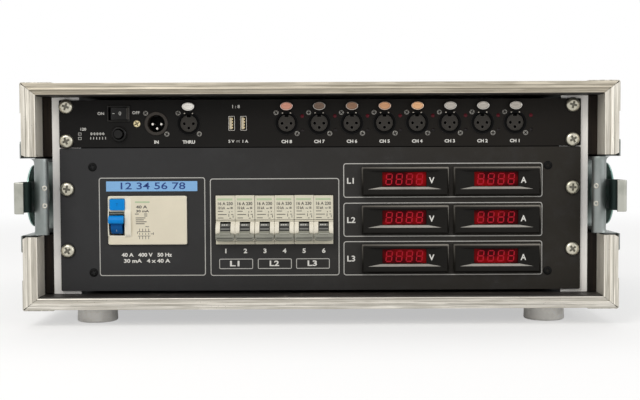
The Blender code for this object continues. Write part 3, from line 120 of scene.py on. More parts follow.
# Latches, by distance from the middle of the case and by depth behind the rim
SHEET = 1.2
DISH_OUTER = HALF_WIDTH + GAP + SHEET
DISH_FLOOR = DISH_OUTER - 14.9
DISH_SETBACK = 1.0
DISH_MOUTH_HALF = 35.0
DISH_MOUTH_END = 72.0
DISH_FLANGE_HALF = 50.5
DISH_FLANGE_END = 104.0
LIP_RADIUS = 6.5
LIP_CREST = DISH_FLOOR + 3.7
LIP_DEPTH = 8.5
LIP_FALL = 15.0
LIP_CURVE = 4.0
DISH_RIVET_RISE = 44
DISH_RIVET_DEPTHS = (14, 55, 96)
EYELET_RISE = 8
EYELET_SLOPE = math.radians(-36)
LATCH_SETBACK = 42.0
CAM_SETBACK = 37.5
HOOK_LOW = DISH_FLOOR + GAP + 5.8
HOOK_SHEET = 2.0
PLATE_LOW = HOOK_LOW + HOOK_SHEET + GAP
PLATE_TOP = PLATE_LOW + 1.6
WING_AXIS = PLATE_TOP + 2.1
WING_RADIUS = 29.0
WING_SHEET = 1.6
KNUCKLE_RADIUS = 1.8
KNUCKLE_HALF = 11.5
KNUCKLE_END = 24.0

# Handles
HANDLE_OUTER = BOARD_OUTER + SHEET
HANDLE_FLOOR = HANDLE_OUTER - 14.0
HANDLE_FLANGE = (172.0, 127.0)
HANDLE_POCKET = (134.0, 98.0)
HANDLE_RIVETS = (-78, -26, 26, 78)
HANDLE_RIVET_RISE = 56
BAIL_AXIS = HANDLE_FLOOR + 6.9
BAIL_RADIUS = 4.0
BAIL_PIN_HALF = 58.0
BAIL_ARM_HALF = 46.0
BAIL_PIVOT = 37.0
BAIL_DROP = 68.0
SLEEVE_HALF = 37
RIB_HALF = 3.7

# Panels, by height over the middle of each panel
PANEL_SETBACK = 25.0
PANEL_THICKNESS = 2.5
PANEL_WIDTH = 482.6
PANEL_BEVEL = 0.12
PANEL_SCREW_X = 211
PANEL_SCREW_Z = 49
# Half length of the dark strip that paints shade in the panel joint
JOINT_SHADE_HALF = 222
SPLITTER_HEIGHT = 43.65
DISTRIBUTOR_HEIGHT = 132.55
RACK_HOLE_HALF = 232.55
RACK_SCREW_X = {-1: 234.6, 1: 233.6}
SPLITTER_SLOT_RISE = 15.875
DISTRIBUTOR_SLOT_RISE = 28.575

# Breakers
NOSE_PROUD = 2.5
NOSE_TOP = 22.1
NOSE_LOW = -23.1
NOSE_DEPTH = 14
CHEEK_DEPTH = 12
PIVOT_DEPTH = 4.6
SHOULDER_RADIUS = 9.0
BANK_LEFT = -97.2
MODULE = 18.2
MODULE_COUNT = 6
BANK_PIVOT = -11.0
RESIDUAL_LEFT = -196.8
RESIDUAL_WIDTH = 73.0
RESIDUAL_PIVOT = -5.0
RESIDUAL_LEVER_X = -188.5
HUB_RADIUS = 8.2
UPPER_BAND = -0.80
LOWER_BAND = -0.28
RESIDUAL_CHEEKS = ((-181.2, 6.0, 2.4), (-196.7, 1.0, 1.2))
LEVER_TILT = math.radians(30)
BUTTON = {"x": -188.0, "z": 14.05, "width": 13.6, "height": 10.3, "proud": 1.8}

# Meters
METER = (80.5, 26.8)
METER_COLUMNS = {78.5: "V", 163.5: "A"}
METER_ROWS = {34.4: "L1", -1.1: "L2", -37.1: "L3"}
METER_PROUD = 5.5
METER_SINK = 2.3
# Width at the top of the pale sheet that paints highlight on a meter's lower slope
METER_HIGHLIGHT_TOP = 44.0
METER_FLOOR = (54.6, 14.4, 2.2)
METER_RECESS = (67.6, 17.2, 1.5)
METER_WINDOW = (41.0, 13.5, 2.2)
METER_SHIFT = -0.8
METER_GLASS = 1.6
METER_DEPTH = 12

# Printed frames: top and low edge, or left and right edge, and the words in them
METER_FRAMES = {"L1": (51.5, 19.6), "L2": (14.9, -16.7), "L3": (-20.9, -52.7)}
PHASE_FRAMES = {"L1": (-93.3, -61.9), "L2": (-57.4, -25.9), "L3": (-21.8, 9.4)}
RATING_WORDS = (("40 A   400 V   50 Hz", 46.8, -32.9), ("30 mA   4 x 40 A", 43.0, -38.5))
LABEL_SPOT = (-156.3, 31.0)
LABEL_PROUD = 0.18

# Rear
SOCKET_XS = (178, 118, 58)
SOCKET_RISE = 29.5
REAR_SCREWS = (-212, 0, 212)
REAR_SCREW_RISE = 59
SOCKET_CUP = ((19.4, -11.5), (0, -11.5), (0, -12.6), (21.0, -12.6), (21.0, 2.6), (19.5, 2.6))
POWER_INLET = (-150, 0)
PIN_CIRCLE = 18.5

# Splitter
SIGNAL_INLET_X = -151.5
THRU_X = -121.5
OUTPUT_XS = [180.4 - 30.2 * n for n in range(8)]
CONNECTOR_RADIUS = 10.8
CONNECTOR_SCREW = 9.7
CONNECTOR_PROUD = 1.0
TAB_RISE = 15.5
# Every tab is nickel; after the first each carries a painted reflection tint.
TAB_TONES = ("nickel", "grey_reflection_nickel", "grey_reflection_nickel", "grey_reflection_nickel", "pale_copper_reflection_nickel", "copper_reflection_nickel",
             "brown_reflection_nickel", "dark_reflection_nickel", "salmon_reflection_nickel")
TABBED_XS = [THRU_X, *OUTPUT_XS]
CONNECTOR_XS = [SIGNAL_INLET_X, *TABBED_XS]
SHELL_DEPTH = 20
PORT_XS = (-81.85, -70.85)
PORT_DEPTH = 9
WORD_ROW = -17.2
BIT_ROWS = (-9.3, -13.4)
ROCKER_X, ROCKER_Z = -186.2, 9.4
ROCKER_TILT = math.radians(10)
CAP_X, CAP_Z = -185.9, -9.6
ROCKER_AXIS = 4.5
ROCKER_BOW = 29.5
ROCKER_REACH = 15.3
# Words of the splitter, each with its size, its middle and its weight
SPLITTER_WORDS = [(f"CH {n + 1}", 4.0, x, WORD_ROW, 0.13) for n, x in enumerate(OUTPUT_XS)]
SPLITTER_WORDS += [("IN", 4.0, SIGNAL_INLET_X, WORD_ROW, 0.13), ("THRU", 4.0, THRU_X, WORD_ROW, 0.13)]
SPLITTER_WORDS += [("ON", 3.6, -202.6, 9.4, 0.07), ("OFF", 3.6, -170.2, 10.0, 0.07)]
SPLITTER_WORDS += [("1 : 8", 4.0, -78.0, 15.3, 0.09), ("5 V", 3.6, -82.2, -16.8, 0.09)]
SPLITTER_WORDS += [("1 A", 3.6, -69.6, -16.8, 0.09), ("120", 3.6, -219.3, -5.0, 0.06)]
SPLITTER_WORDS += [("0 0 0 0 0", 3.2, -206.0, BIT_ROWS[0], 0.06)]
SPLITTER_WORDS += [("1 1 1 1 1 1", 3.2, -205.4, BIT_ROWS[1], 0.06)]

AMBIENT = 0.47
FLOOR_HALF = 6000.0
FLOOR_FADE = (0.55, 2.0)
LAMPS = (("key_light", (-0.9, -1.5, 1.5), (1.2, 0.8), 16.5, (1.0, 0.98, 0.95)),
         ("fill_light", (1.4, -1.2, 0.7), (1.0, 0.8), 6.0, (0.97, 0.98, 1.0)),
         ("top_light", (0.0, 0.3, 1.6), (1.6, 1.0), 9.0, (1.0, 1.0, 1.0)))
PRINT = 0.04
LINE_PROUD = 0.05
HEAD_SIDES = 36

# Where looks change, in metres from the middle of the case
FACE_EDGE = (0.2055, 0.2075)
# Spans of the hook strap's inner faces that are painted in shade
CLAW_INSIDE = ((0.2690, 0.2683), (0.2358, 0.2348), (0.204, 0.206))
CRANK_INSIDE = ((0.2643, 0.2637), (0.2065, 0.2045))

WELD = 2e-6
SMOOTH_ANGLE = math.radians(35)


class Place:
    """An origin in metres and three directions, for sizes in millimetres."""

    def __init__(self, origin, p, q, t):
        self.origin = np.array(origin, float)
        self.axes = np.array([p, q, t], float)

    def at(self, points):
        return self.origin + np.asarray(points, float) @ self.axes * MM

    def moved(self, p=0.0, q=0.0, t=0.0):
        return Place(self.at((p, q, t)), *self.axes)

    def swung(self, *order):
        """The same place with its directions in another order."""
        return Place(self.origin, *self.axes[list(order)])

    def tipped(self, angle):
        """Turned round p, so that t leans towards minus q."""
        p, q, t = self.axes
        cosine, sine = math.cos(angle), math.sin(angle)
        return Place(self.origin, p, q * cosine + t * sine, t * cosine - q * sine)

    def spun(self, angle):
        """Turned round t."""
        p, q, t = self.axes
        cosine, sine = math.cos(angle), math.sin(angle)
        return Place(self.origin, p * cosine + q * sine, q * cosine - p * sine, t)


class Shape:
    """The points and faces of one piece while it is made, with a mark for painted light and worn edges."""

    def __init__(self):
        self.points = []
        self.marks = []
        self.faces = []
        self.total = 0

    def add(self, points, faces, marks=0.0):
        points = np.asarray(points, float).reshape(-1, 3)
        self.points.append(points)
        self.marks.append(np.broadcast_to(np.asarray(marks, float), len(points)))
        self.faces += [[corner + self.total for corner in face] for face in faces]
        self.total += len(points)


def shapes(count):
    """Empty shapes, one for each of the pieces that are made together."""
    return [Shape() for number in range(count)]


def cells(rows, columns, wrap_rows=False, wrap_columns=True):
    """Corner numbers of the four-sided cells of a grid."""
    row, column = np.meshgrid(np.arange(rows - 1 + wrap_rows), np.arange(columns - 1 + wrap_columns),
                              indexing="ij")
    down, along = (row + 1) % rows, (column + 1) % columns
    corners = [(row, column), (row, along), (down, along), (down, column)]
    return np.stack([y * columns + x for y, x in corners], -1).reshape(-1, 4).tolist()


def skin(shape, rings, marks=0.0, wrap=False, caps=True):
    """Joins rings of points into a closed surface: a grid of rows by points, wrapped round."""
    rows, count = rings.shape[:2]
    faces = cells(rows, count, wrap)
    if caps and not wrap:
        faces += [list(range(count)), list(range((rows - 1) * count, rows * count))]
    marks = np.asarray(marks, float)
    if marks.ndim < 2:
        marks = np.broadcast_to(marks, rows)[:, None]
    shape.add(rings, faces, np.broadcast_to(marks, (rows, count)).ravel())


def circle(radius, centre=(0, 0), sides=32):
    """Points at radius r and equal angles a: r cos a, r sin a."""
    angle = 2 * math.pi * (np.arange(sides) + 0.5) / sides
    return np.array(centre) + radius * np.stack([np.cos(angle), np.sin(angle)], -1)


def arc(centre, radius, start, stop, steps):
    """Points on an arc from one angle to another."""
    angle = np.linspace(start, stop, steps + 1)
    return np.array(centre) + radius * np.stack([np.cos(angle), np.sin(angle)], -1)


def rounded(width, height, radius, centre=(0, 0), steps=4):
    """Rectangle with a quarter circle at each corner."""
    quarter = np.repeat(np.arange(4), steps + 1)
    angle = (quarter + np.tile(np.linspace(0, 1, steps + 1), 4)) * math.pi / 2
    across = np.where((quarter == 0) | (quarter == 3), 1, -1) * (width / 2 - radius)
    up = np.where(quarter < 2, 1, -1) * (height / 2 - radius)
    return np.array(centre) + np.stack([across + radius * np.cos(angle), up + radius * np.sin(angle)], -1)


def beside(path):
    """Directions of length one, square to a flat path and to its right."""
    along = np.gradient(path, axis=0)
    return np.stack([along[:, 1], -along[:, 0]], -1) / np.linalg.norm(along, axis=1)[:, None]


def carried(path, section):
    """Rings of a section of (offset, height) along a flat path, with the offset to its right."""
    flat = path[:, None] + beside(path)[:, None] * section[None, :, :1]
    rise = np.broadcast_to(section[None, :, 1:], (len(path), len(section), 1))
    return np.concatenate([flat, rise], -1)


def folded(path, thickness):
    """Outline of a bent sheet: a path, and back along the path moved square to itself."""
    return np.concatenate([path, (path - beside(path) * thickness)[::-1]])


def softened(outline, reach, steps, closed=True):
    """Corners rounded by a parabola (1-s)^2 A + 2s(1-s) C + s^2 B, from A to B round corner C."""
    outline = np.array(outline, float)
    s = np.linspace(0, 1, steps + 1)[None, :, None]

    def towards(other):
        line = other - outline
        length = np.maximum(np.linalg.norm(line, axis=1), 1e-9)
        return outline + line * (np.minimum(reach, length * 0.45) / length)[:, None]

    start, end = towards(np.roll(outline, 1, 0)), towards(np.roll(outline, -1, 0))
    curve = (1 - s) ** 2 * start[:, None] + 2 * s * (1 - s) * outline[:, None] + s ** 2 * end[:, None]
    if closed:
        return curve.reshape(-1, 2)
    return np.concatenate([outline[:1], curve[1:-1].reshape(-1, 2), outline[-1:]])


def shrunk(outline, distance):
    """An outline moved inwards along the mitre of each corner."""
    before, after = outline - np.roll(outline, 1, 0), np.roll(outline, -1, 0) - outline
    turn = np.sign(np.sum(outline[:, 0] * after[:, 1] - outline[:, 1] * after[:, 0]))
    normals = []
    for edge in (before, after):
        length = np.maximum(np.linalg.norm(edge, axis=1), 1e-9)[:, None]
        normals.append(np.stack([edge[:, 1], -edge[:, 0]], -1) / length * turn)
    mitre = (normals[0] + normals[1]) / (1 + np.sum(normals[0] * normals[1], axis=1))[:, None]
    return outline - mitre * distance


def leveled(outline, t):
    """A flat outline as points at one height."""
    return np.concatenate([outline, np.full((len(outline), 1), float(t))], 1)


def plate(shape, place, outer, low, high, holes=(), bevel=0.3, steps=2, both=False):
    """A flat piece with rounded edges: each outline is carried from low to high, and near the top it
    moves in by bevel * (1 - sin a) and down by bevel * (1 - cos a), a from 0 to a right angle."""
    angle = np.linspace(0, math.pi / 2, steps + 1)
    inset, drop = bevel * (1 - np.sin(angle)), bevel * (1 - np.cos(angle))
    # Bevels are marked lighter, for worn edges and painted highlight.
    marks = np.sin(2 * angle)
    if both:
        insets = np.concatenate([inset, inset[::-1]])
        levels = np.concatenate([high - drop, low + drop[::-1]])
        marks = np.concatenate([marks, marks[::-1]])
    else:
        insets, levels, marks = np.append(inset, 0), np.append(high - drop, low), np.append(marks, 0)
    loops = []
    for number, outline in enumerate([outer, *holes]):
        sign = -1 if number else 1
        rings = np.stack([leveled(shrunk(outline, sign * i), t) for i, t in zip(insets, levels)])
        loops.append(rings)
    starts = np.cumsum([0] + [rings.shape[0] * rings.shape[1] for rings in loops]) + shape.total
    for rings, start in zip(loops, starts):
        skin(shape, place.at(rings), marks, caps=False)
    for row in (0, -1):
        flat = [[Vector((*point[:2], 0)) for point in rings[row]] for rings in loops]
        numbers = np.concatenate([start + (row % rings.shape[0]) * rings.shape[1] + np.arange(rings.shape[1])
                                  for rings, start in zip(loops, starts)])
        if holes:
            shape.faces += [[int(numbers[corner]) for corner in face] for face in tessellate_polygon(flat)]
        else:
            shape.faces.append([int(number) for number in numbers])


def turned(shape, place, centre, profile, sides, marks=0.0):
    """A profile of (r, t) turned round a centre: r cos a, r sin a, t."""
    profile = np.array(profile, float)
    ring = circle(1.0, sides=sides)
    flat = np.array(centre) + profile[:, None, :1] * ring[None]
    heights = np.broadcast_to(profile[:, None, 1:], (len(profile), sides, 1))
    closed_section = profile[0, 0] > 0
    skin(shape, place.at(np.concatenate([flat, heights], -1)), marks, wrap=closed_section, caps=False)


def drum(shape, place, centre, radius, start, stop, sides, soft=0.0, steps=2, marks=0.0):
    """A round solid from one height to another, with softened rims."""
    profile = [(0, start), (radius, start), (radius, stop), (0, stop)]
    if soft:
        profile = softened(profile, soft, steps, closed=False)
    turned(shape, place, centre, profile, sides, marks)


def tube(shape, place, centre, outer, inner, start, stop, soft, steps, sides):
    """A ring with softened edges from one height to another."""
    profile = [(outer, start), (outer, stop), (inner, stop), (inner, start)]
    turned(shape, place, centre, softened(profile, soft, steps), sides)


def lofted(shape, place, levels, marks=0.0):
    """A closed wall through flat outlines, each with its height."""
    skin(shape, place.at(np.stack([leveled(outline, t) for outline, t in levels])), marks, wrap=True)


def swept(shape, path, section, across, scales=None):
    """A section carried along a path in metres: its first number goes square to the path and to a
    fixed direction, its second along that direction."""
    path = np.asarray(path, float)
    tangent = np.gradient(path, axis=0)
    tangent /= np.linalg.norm(tangent, axis=1)[:, None]
    side = np.cross(tangent, across)
    side /= np.linalg.norm(side, axis=1)[:, None]
    up = np.cross(side, tangent)
    size = np.ones(len(path)) if scales is None else np.asarray(scales, float)
    section = np.asarray(section, float) * MM
    first = section[None, :, :1] * size[:, None, None] * side[:, None]
    second = section[None, :, 1:] * size[:, None, None] * up[:, None]
    skin(shape, path[:, None] + first + second)


def sheet(shape, place, path, thickness, low, high, bevel):
    """A sheet bent along a path: its rounded section is carried along the path, square to it."""
    section = rounded(thickness, high - low, bevel, (-thickness / 2, (low + high) / 2), 3)
    skin(shape, place.at(carried(path, section)))


def cross_head(shape, place, centre, radius, height, arm, depth, angle=0.0):
    """Screw head t = h sqrt(1 - (r/R)^3) down to its edge, under a flat cap with a cross cut in it."""
    spot = place.moved(*centre).spun(angle)
    wide, long = arm
    cap = long + 0.12 * radius
    share = np.linspace(1, cap / radius, 7)
    dome = np.stack([share * radius, height * np.sqrt(np.maximum(0, 1 - share ** 3))], -1)
    top = dome[-1, 1]
    ring = np.concatenate([[(cap, -0.2), (radius, -0.2)], dome])
    # The dome is marked from painted shade at its rim to painted highlight at its cap.
    turned(shape, spot, (0, 0), ring, HEAD_SIDES, np.concatenate([[0, -0.6], np.linspace(-0.5, 0.5, 7)]))
    corner = [(long, -wide), (long, wide), (wide, wide)]
    turns = [(1, 0), (0, 1), (-1, 0), (0, -1)]
    cross = [(x * c - y * s, x * s + y * c) for c, s in turns for x, y in corner]
    disc = circle(cap - 0.01, sides=HEAD_SIDES)
    plate(shape, spot, disc, top - depth, top, [softened(cross, wide * 0.3, 2)], bevel=0.12 * wide, steps=1)
    # The floor of the cross is marked for painted shade.
    drum(shape, spot, (0, 0), cap - 0.1, top - depth, -0.2, HEAD_SIDES, marks=-1.0)


def lettering(shape, place, words, size, centre, height=0.05, stretch=1.0, weight=0.0, width=None):
    """Raised letters of the built-in font, centred on a point, or stretched to a width."""
    curve = bpy.data.curves.new("letters", "FONT")
    curve.body = words
    curve.size = size
    curve.extrude = height / 2
    curve.offset = weight
    curve.resolution_u = 3
    curve.align_x = "CENTER"
    curve.align_y = "CENTER"
    holder = bpy.data.objects.new("letters", curve)
    bpy.context.scene.collection.objects.link(holder)
    bpy.context.view_layer.update()
    mesh = bpy.data.meshes.new_from_object(holder.evaluated_get(bpy.context.evaluated_depsgraph_get()))
    points = np.zeros(len(mesh.vertices) * 3)
    mesh.vertices.foreach_get("co", points)
    points = points.reshape(-1, 3)
    if width:
        stretch = width / np.ptp(points[:, 0])
    points = points * (stretch, 1, 1) + (centre[0], centre[1], height / 2)
    shape.add(place.at(points), [list(face.vertices) for face in mesh.polygons])
    bpy.data.objects.remove(holder)
    bpy.data.curves.remove(curve)
    bpy.data.meshes.remove(mesh)


def line_frame(shape, place, width, height, centre, line=0.8, radius=2.5):
    """A printed line round a rectangle with round corners."""
    outer = rounded(width, height, radius, centre, steps=5)
    plate(shape, place, outer, 0, LINE_PROUD, [shrunk(outer, line)], bevel=0.01, steps=1)


def strokes(shape, place, bars, thickness=PRINT):
    """Printed bars, each as (centre across, centre up, width, height)."""
    for x, z, wide, tall in bars:
        outline = rounded(wide, tall, min(wide, tall) * 0.3, (x, z), 2)
        plate(shape, place, outline, 0, thickness, bevel=0.01, steps=1)


def piece(name, shape, finish, body="root", replaces=()):
    """The finished piece: welded, with its faces turned outwards, on its body."""
    mesh = bpy.data.meshes.new(name)
    points = np.concatenate(shape.points)
    mesh.from_pydata(points.tolist(), [], shape.faces)
    # The mark: below zero painted shade, above zero painted highlight and worn edges.
    marks = mesh.attributes.new("painted_light_and_wear", "FLOAT", "POINT")
    marks.data.foreach_set("value", np.concatenate(shape.marks).astype(np.float32))
    bm = bmesh.new()
    bm.from_mesh(mesh)
    bmesh.ops.remove_doubles(bm, verts=bm.verts, dist=WELD)
    bmesh.ops.recalc_face_normals(bm, faces=bm.faces)
    bm.to_mesh(mesh)
    bm.free()
    mesh.shade_smooth()
    mesh.set_sharp_from_angle(angle=SMOOTH_ANGLE)
    mesh.materials.append(FINISHES[finish].material)
    made = bpy.data.objects.new(name, mesh)
    bpy.context.scene.collection.objects.link(made)
    shading = made.modifiers.new("even_shading", "WEIGHTED_NORMAL")
    shading.keep_sharp = True
    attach(made, body)
    if replaces:
        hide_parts(*replaces)
    return made


class Socket:
    """A value in a node tree that takes plain arithmetic."""

    def __init__(self, owner, socket):
        self.owner = owner
        self.socket = socket

    def maths(self, operation, *values, clamp=False):
        settings = {"operation": operation, "use_clamp": clamp}
        return self.owner.node("ShaderNodeMath", settings, dict(enumerate(values)))

    def __add__(self, other):
        return self.maths("ADD", self, other)

    def __radd__(self, other):
        return self.maths("ADD", other, self)

    def __sub__(self, other):
        return self.maths("SUBTRACT", self, other)

    def __rsub__(self, other):
        return self.maths("SUBTRACT", other, self)

    def __mul__(self, other):
        return self.maths("MULTIPLY", self, other)

    def __rmul__(self, other):
        return self.maths("MULTIPLY", other, self)

    def __abs__(self):
        return self.maths("ABSOLUTE", self)

    def clamped(self):
        return self.maths("ADD", self, 0.0, clamp=True)

    def step(self, low, high):
        """0 below low, 1 above high, and smooth between them."""
        inputs = {"Value": self, "From Min": low, "From Max": high}
        return self.owner.node("ShaderNodeMapRange", {"interpolation_type": "SMOOTHSTEP"}, inputs)


def toned(tone, factor, lift=0.0, most=math.inf):
    """A tone times one factor, or times one for each of its channels, and a little more."""
    return tuple(min(most, channel * part + lift) for channel, part in zip(tone, np.broadcast_to(factor, 3)))


class Nodes:
    """A node tree, emptied first unless told otherwise."""

    def __init__(self, holder, empty=True):
        holder.use_nodes = True
        self.tree = holder.node_tree
        if empty:
            self.tree.nodes.clear()

    def node(self, kind, settings, inputs, output=0):
        """A node of any kind, with its settings first and then the values or links of its sockets."""
        made = self.tree.nodes.new(kind)
        for key, value in settings.items():
            setattr(made, key, value)
        for key, value in inputs.items():
            self.plug(made, key, value)
        return Socket(self, made.outputs[output]) if made.outputs else None

    def plug(self, made, key, value):
        if isinstance(value, Socket):
            self.tree.links.new(value.socket, made.inputs[key])
        else:
            made.inputs[key].default_value = value

    def shader(self, kind, **inputs):
        """A shader node: a background, a diffuse surface or a glow."""
        return self.node("ShaderNode" + kind, {}, inputs)

    def mixed(self, factor, first, second):
        return self.node("ShaderNodeMixShader", {}, {0: factor, 1: first, 2: second})

    def seen(self):
        """1 for rays of the camera, of a reflection or through something clear."""
        camera_ray, glossy, clear = [self.node("ShaderNodeLightPath", {}, {}, f"Is {kind} Ray")
                                     for kind in ("Camera", "Glossy", "Transmission")]
        return clear.maths("MAXIMUM", camera_ray.maths("MAXIMUM", camera_ray, glossy), clear)


class Finish(Nodes):
    """A material on a Principled shader, with patterns from the Object coordinates."""

    def __init__(self, name, colour, roughness, metallic=0.0, **fixed):
        self.material = bpy.data.materials.new(name)
        super().__init__(self.material, empty=False)
        self.principled = self.tree.nodes["Principled BSDF"]
        self.feed("Base Color", (*colour, 1))
        self.feed("Roughness", roughness)
        self.feed("Metallic", metallic)
        for key, value in fixed.items():
            self.feed(key.replace("_", " ").title().replace("Ior", "IOR"), value)
        self.where = self.node("ShaderNodeTexCoord", {}, {}, "Object")

    def feed(self, key, value):
        self.plug(self.principled, key, value)

    def axis(self, name):
        return self.node("ShaderNodeSeparateXYZ", {}, {0: self.where}, name)

    def noise(self, scale, detail, roughness=0.5, stretch=None):
        where = self.where
        if stretch:
            where = self.node("ShaderNodeMapping", {}, {"Vector": self.where, "Scale": stretch})
        inputs = {"Vector": where, "Scale": scale, "Detail": detail, "Roughness": roughness}
        return self.node("ShaderNodeTexNoise", {}, inputs)

    def spots(self, scale):
        """Distance to the nearest of the scattered points."""
        return self.node("ShaderNodeTexVoronoi", {}, {"Vector": self.where, "Scale": scale}, "Distance")

    # The per-point mark: painted shade below zero, painted highlight and worn edges above zero.
    def mark(self):
        return self.node("ShaderNodeAttribute", {"attribute_name": "painted_light_and_wear"}, {}, "Fac")

    def mix(self, factor, first, second):
        """A colour between two, each from a node or as red, green and blue."""
        first, second = (colour if isinstance(colour, Socket) else (*colour, 1) for colour in (first, second))
        return self.node("ShaderNodeMix", {"data_type": "RGBA"}, {0: factor, 6: first, 7: second}, 2)

    def dressed(self, colour, roughness, height=None, distance=0.0001, strength=0.5):
        """This finish with its colour, its roughness and, where it has a relief, its bump."""
        self.feed("Base Color", colour)
        self.feed("Roughness", roughness)
        if height:
            inputs = {"Height": height, "Distance": distance, "Strength": strength}
            self.feed("Normal", self.node("ShaderNodeBump", {}, inputs, "Normal"))
        return self


def worn_aluminium(name, along, tone):
    """Mill aluminium: streaks along one axis, strong on the front and rear faces and faint on the outer
    ones, rubbed patches, pits, painted shade in its grooves and recesses, and painted highlight where marked."""
    made = Finish(name, tone, 0.42, 0.7)
    fine, broad = (tuple(drawn if axis == along else 1 for axis in "xyz") for drawn in (0.02, 0.05))
    lines = made.noise(1300, 2.0, 0.6, fine)
    streaks = made.noise(330, 3.0, 0.6, broad)
    patches = made.noise(24, 5.0, 0.65)
    pits = made.spots(420).step(0.16, 0.05) * made.noise(60, 2.0).step(0.5, 0.62)
    mark = made.mark()
    # Marks below zero paint shade in grooves and recesses.
    painted_recess_shade = (0.0 - mark).clamped()
    face = abs(made.axis("Y")).step(*FACE_EDGE) * 0.68 + 0.32
    bright = toned(tone, 1.35, most=1.0)
    dull = toned(tone, (0.74, 0.73, 0.70))
    colour = made.mix(lines.step(0.66, 0.32) * face, tone, dull)
    colour = made.mix(streaks.step(0.50, 0.64) * face * 0.8, colour, bright)
    colour = made.mix(streaks.step(0.44, 0.30) * face * 0.7, colour, toned(tone, (0.56, 0.54, 0.49)))
    colour = made.mix(patches.step(0.56, 0.74) * 0.4, colour, dull)
    pits_and_painted_shade = (pits * 0.7 + painted_recess_shade * (0.45 + 0.5 * streaks.step(0.3, 0.7))).clamped()
    colour = made.mix(pits_and_painted_shade, colour, (0.055, 0.042, 0.030))
    # Marks above zero paint highlight.
    colour = made.mix(mark.step(0.2, 1.0) * 0.6, colour, bright)
    roughness = 0.28 + 0.2 * patches + 0.16 * lines + 0.25 * painted_recess_shade
    return made.dressed(colour, roughness, (lines * 0.35 + streaks * 0.5) * face - pits * 1.2, 0.0002)


def plated_steel(name, tone, roughness, stain, tint, metallic=0.9):
    """Zinc or nickel plate: cloudy, with a faint stain, fine scratches, painted highlight on marked edges and
    painted shade in recesses.
    """
    made = Finish(name, tone, roughness, metallic)
    cloud = made.noise(45, 5.0, 0.6)
    scratch = made.noise(900, 2.0, 0.5, (1, 0.06, 0.25))
    mark = made.mark()
    colour = made.mix(cloud.step(0.42, 0.72) * stain, tone, toned(tone, tint))
    # Marks above zero paint highlight, marks below zero paint shade.
    colour = made.mix(mark.step(0.1, 1.0) * 0.5, colour, (0.82, 0.81, 0.77))
    colour = made.mix((0.0 - mark).clamped() * 0.85, colour, toned(tone, 0.12))
    return made.dressed(colour, roughness - 0.06 + 0.16 * cloud + 0.08 * scratch, cloud * 0.6 + scratch * 0.4)


def strap_zinc():
    """Plated hook: pale outside and on its claw, and painted shade in blackish green on the inner faces of
    its crank.
    """
    tone = (0.46, 0.46, 0.41)
    made = Finish("hook_zinc", tone, 0.34, 0.85)
    cloud = made.noise(60, 5.0, 0.6)
    deep, across = abs(made.axis("Y")), abs(made.axis("X"))
    outmost, front, back = CLAW_INSIDE
    # Painted shade: the strap's inner faces turn blackish green.
    inside = across.step(*outmost) * deep.step(*front) * deep.step(*back)
    inside = (inside + across.step(*CRANK_INSIDE[0]) * deep.step(*CRANK_INSIDE[1])).clamped()
    colour = made.mix(cloud.step(0.40, 0.70) * 0.5, tone, (0.25, 0.26, 0.22))
    colour = made.mix(made.mark().step(0.1, 1.0) * 0.5, colour, (0.70, 0.70, 0.64))
    return made.dressed(made.mix(inside, colour, (0.035, 0.055, 0.050)), 0.28 + 0.18 * cloud, cloud)


def powder_coat(name, tone, grain=2600, roughness=0.55, gloss=0.2, right=None):
    """Fine powder coat: tight grain, faint dust and hair scratches, and painted light that drifts across the
    panel.
    """
    made = Finish(name, tone, roughness, specular_ior_level=gloss)
    texture = made.noise(grain, 2.0, 0.5)
    dust = made.noise(26, 6.0, 0.7)
    hair = made.noise(240, 1.0, 0.5, (0.05, 1, 1)).step(0.68, 0.72) * dust.step(0.55, 0.65)
    # Painted light: the tone shifts from left to right across the panel.
    colour = made.mix(made.axis("X").step(-0.24, 0.24), tone, right or tone)
    colour = made.mix(dust.step(0.45, 0.75) * 0.3, colour, toned(tone, 1.6, 0.002))
    colour = made.mix(hair * 0.15, colour, (0.08, 0.075, 0.07))
    return made.dressed(colour, roughness + 0.14 * (texture - 0.5) + 0.12 * dust, texture, 0.00012)


def moulded(name, tone, roughness, shade, coat=0.0, gloss=0.4, edge=None):
    """Moulded plastic: slight colour drift, fine spark grain, lighter edges for wear and painted highlight,
    and painted shade where marked below zero.
    """
    made = Finish(name, tone, roughness, specular_ior_level=gloss, coat_weight=coat, coat_roughness=0.12)
    drift = made.noise(35, 4.0, 0.6)
    texture = made.noise(1400, 2.0, 0.5)
    mark = made.mark()
    colour = made.mix(drift.step(0.35, 0.7), toned(tone, shade), tone)
    # Marks above zero lighten edges: wear, and painted highlight in a given edge colour.
    colour = made.mix(mark.step(0.1, 1.0) * 0.7, colour, edge or toned(tone, 1.15, 0.01, 1.0))
    # Marks below zero paint shade.
    colour = made.mix((0.0 - mark).clamped() * 0.7, colour, toned(tone, 0.35))
    roughness = roughness + 0.1 * (drift - 0.5) + 0.08 * (texture - 0.5)
    return made.dressed(colour, roughness, texture, 0.00005, 0.4)


def printed(name, tone, roughness=0.55):
    """Screen print: thin ink with small breaks in it."""
    made = Finish(name, tone, roughness)
    breaks = made.noise(1900, 2.0, 0.6)
    colour = made.mix(breaks.step(0.50, 0.75) * 0.6, tone, toned(tone, 0.72))
    return made.dressed(colour, roughness + 0.15 * breaks)


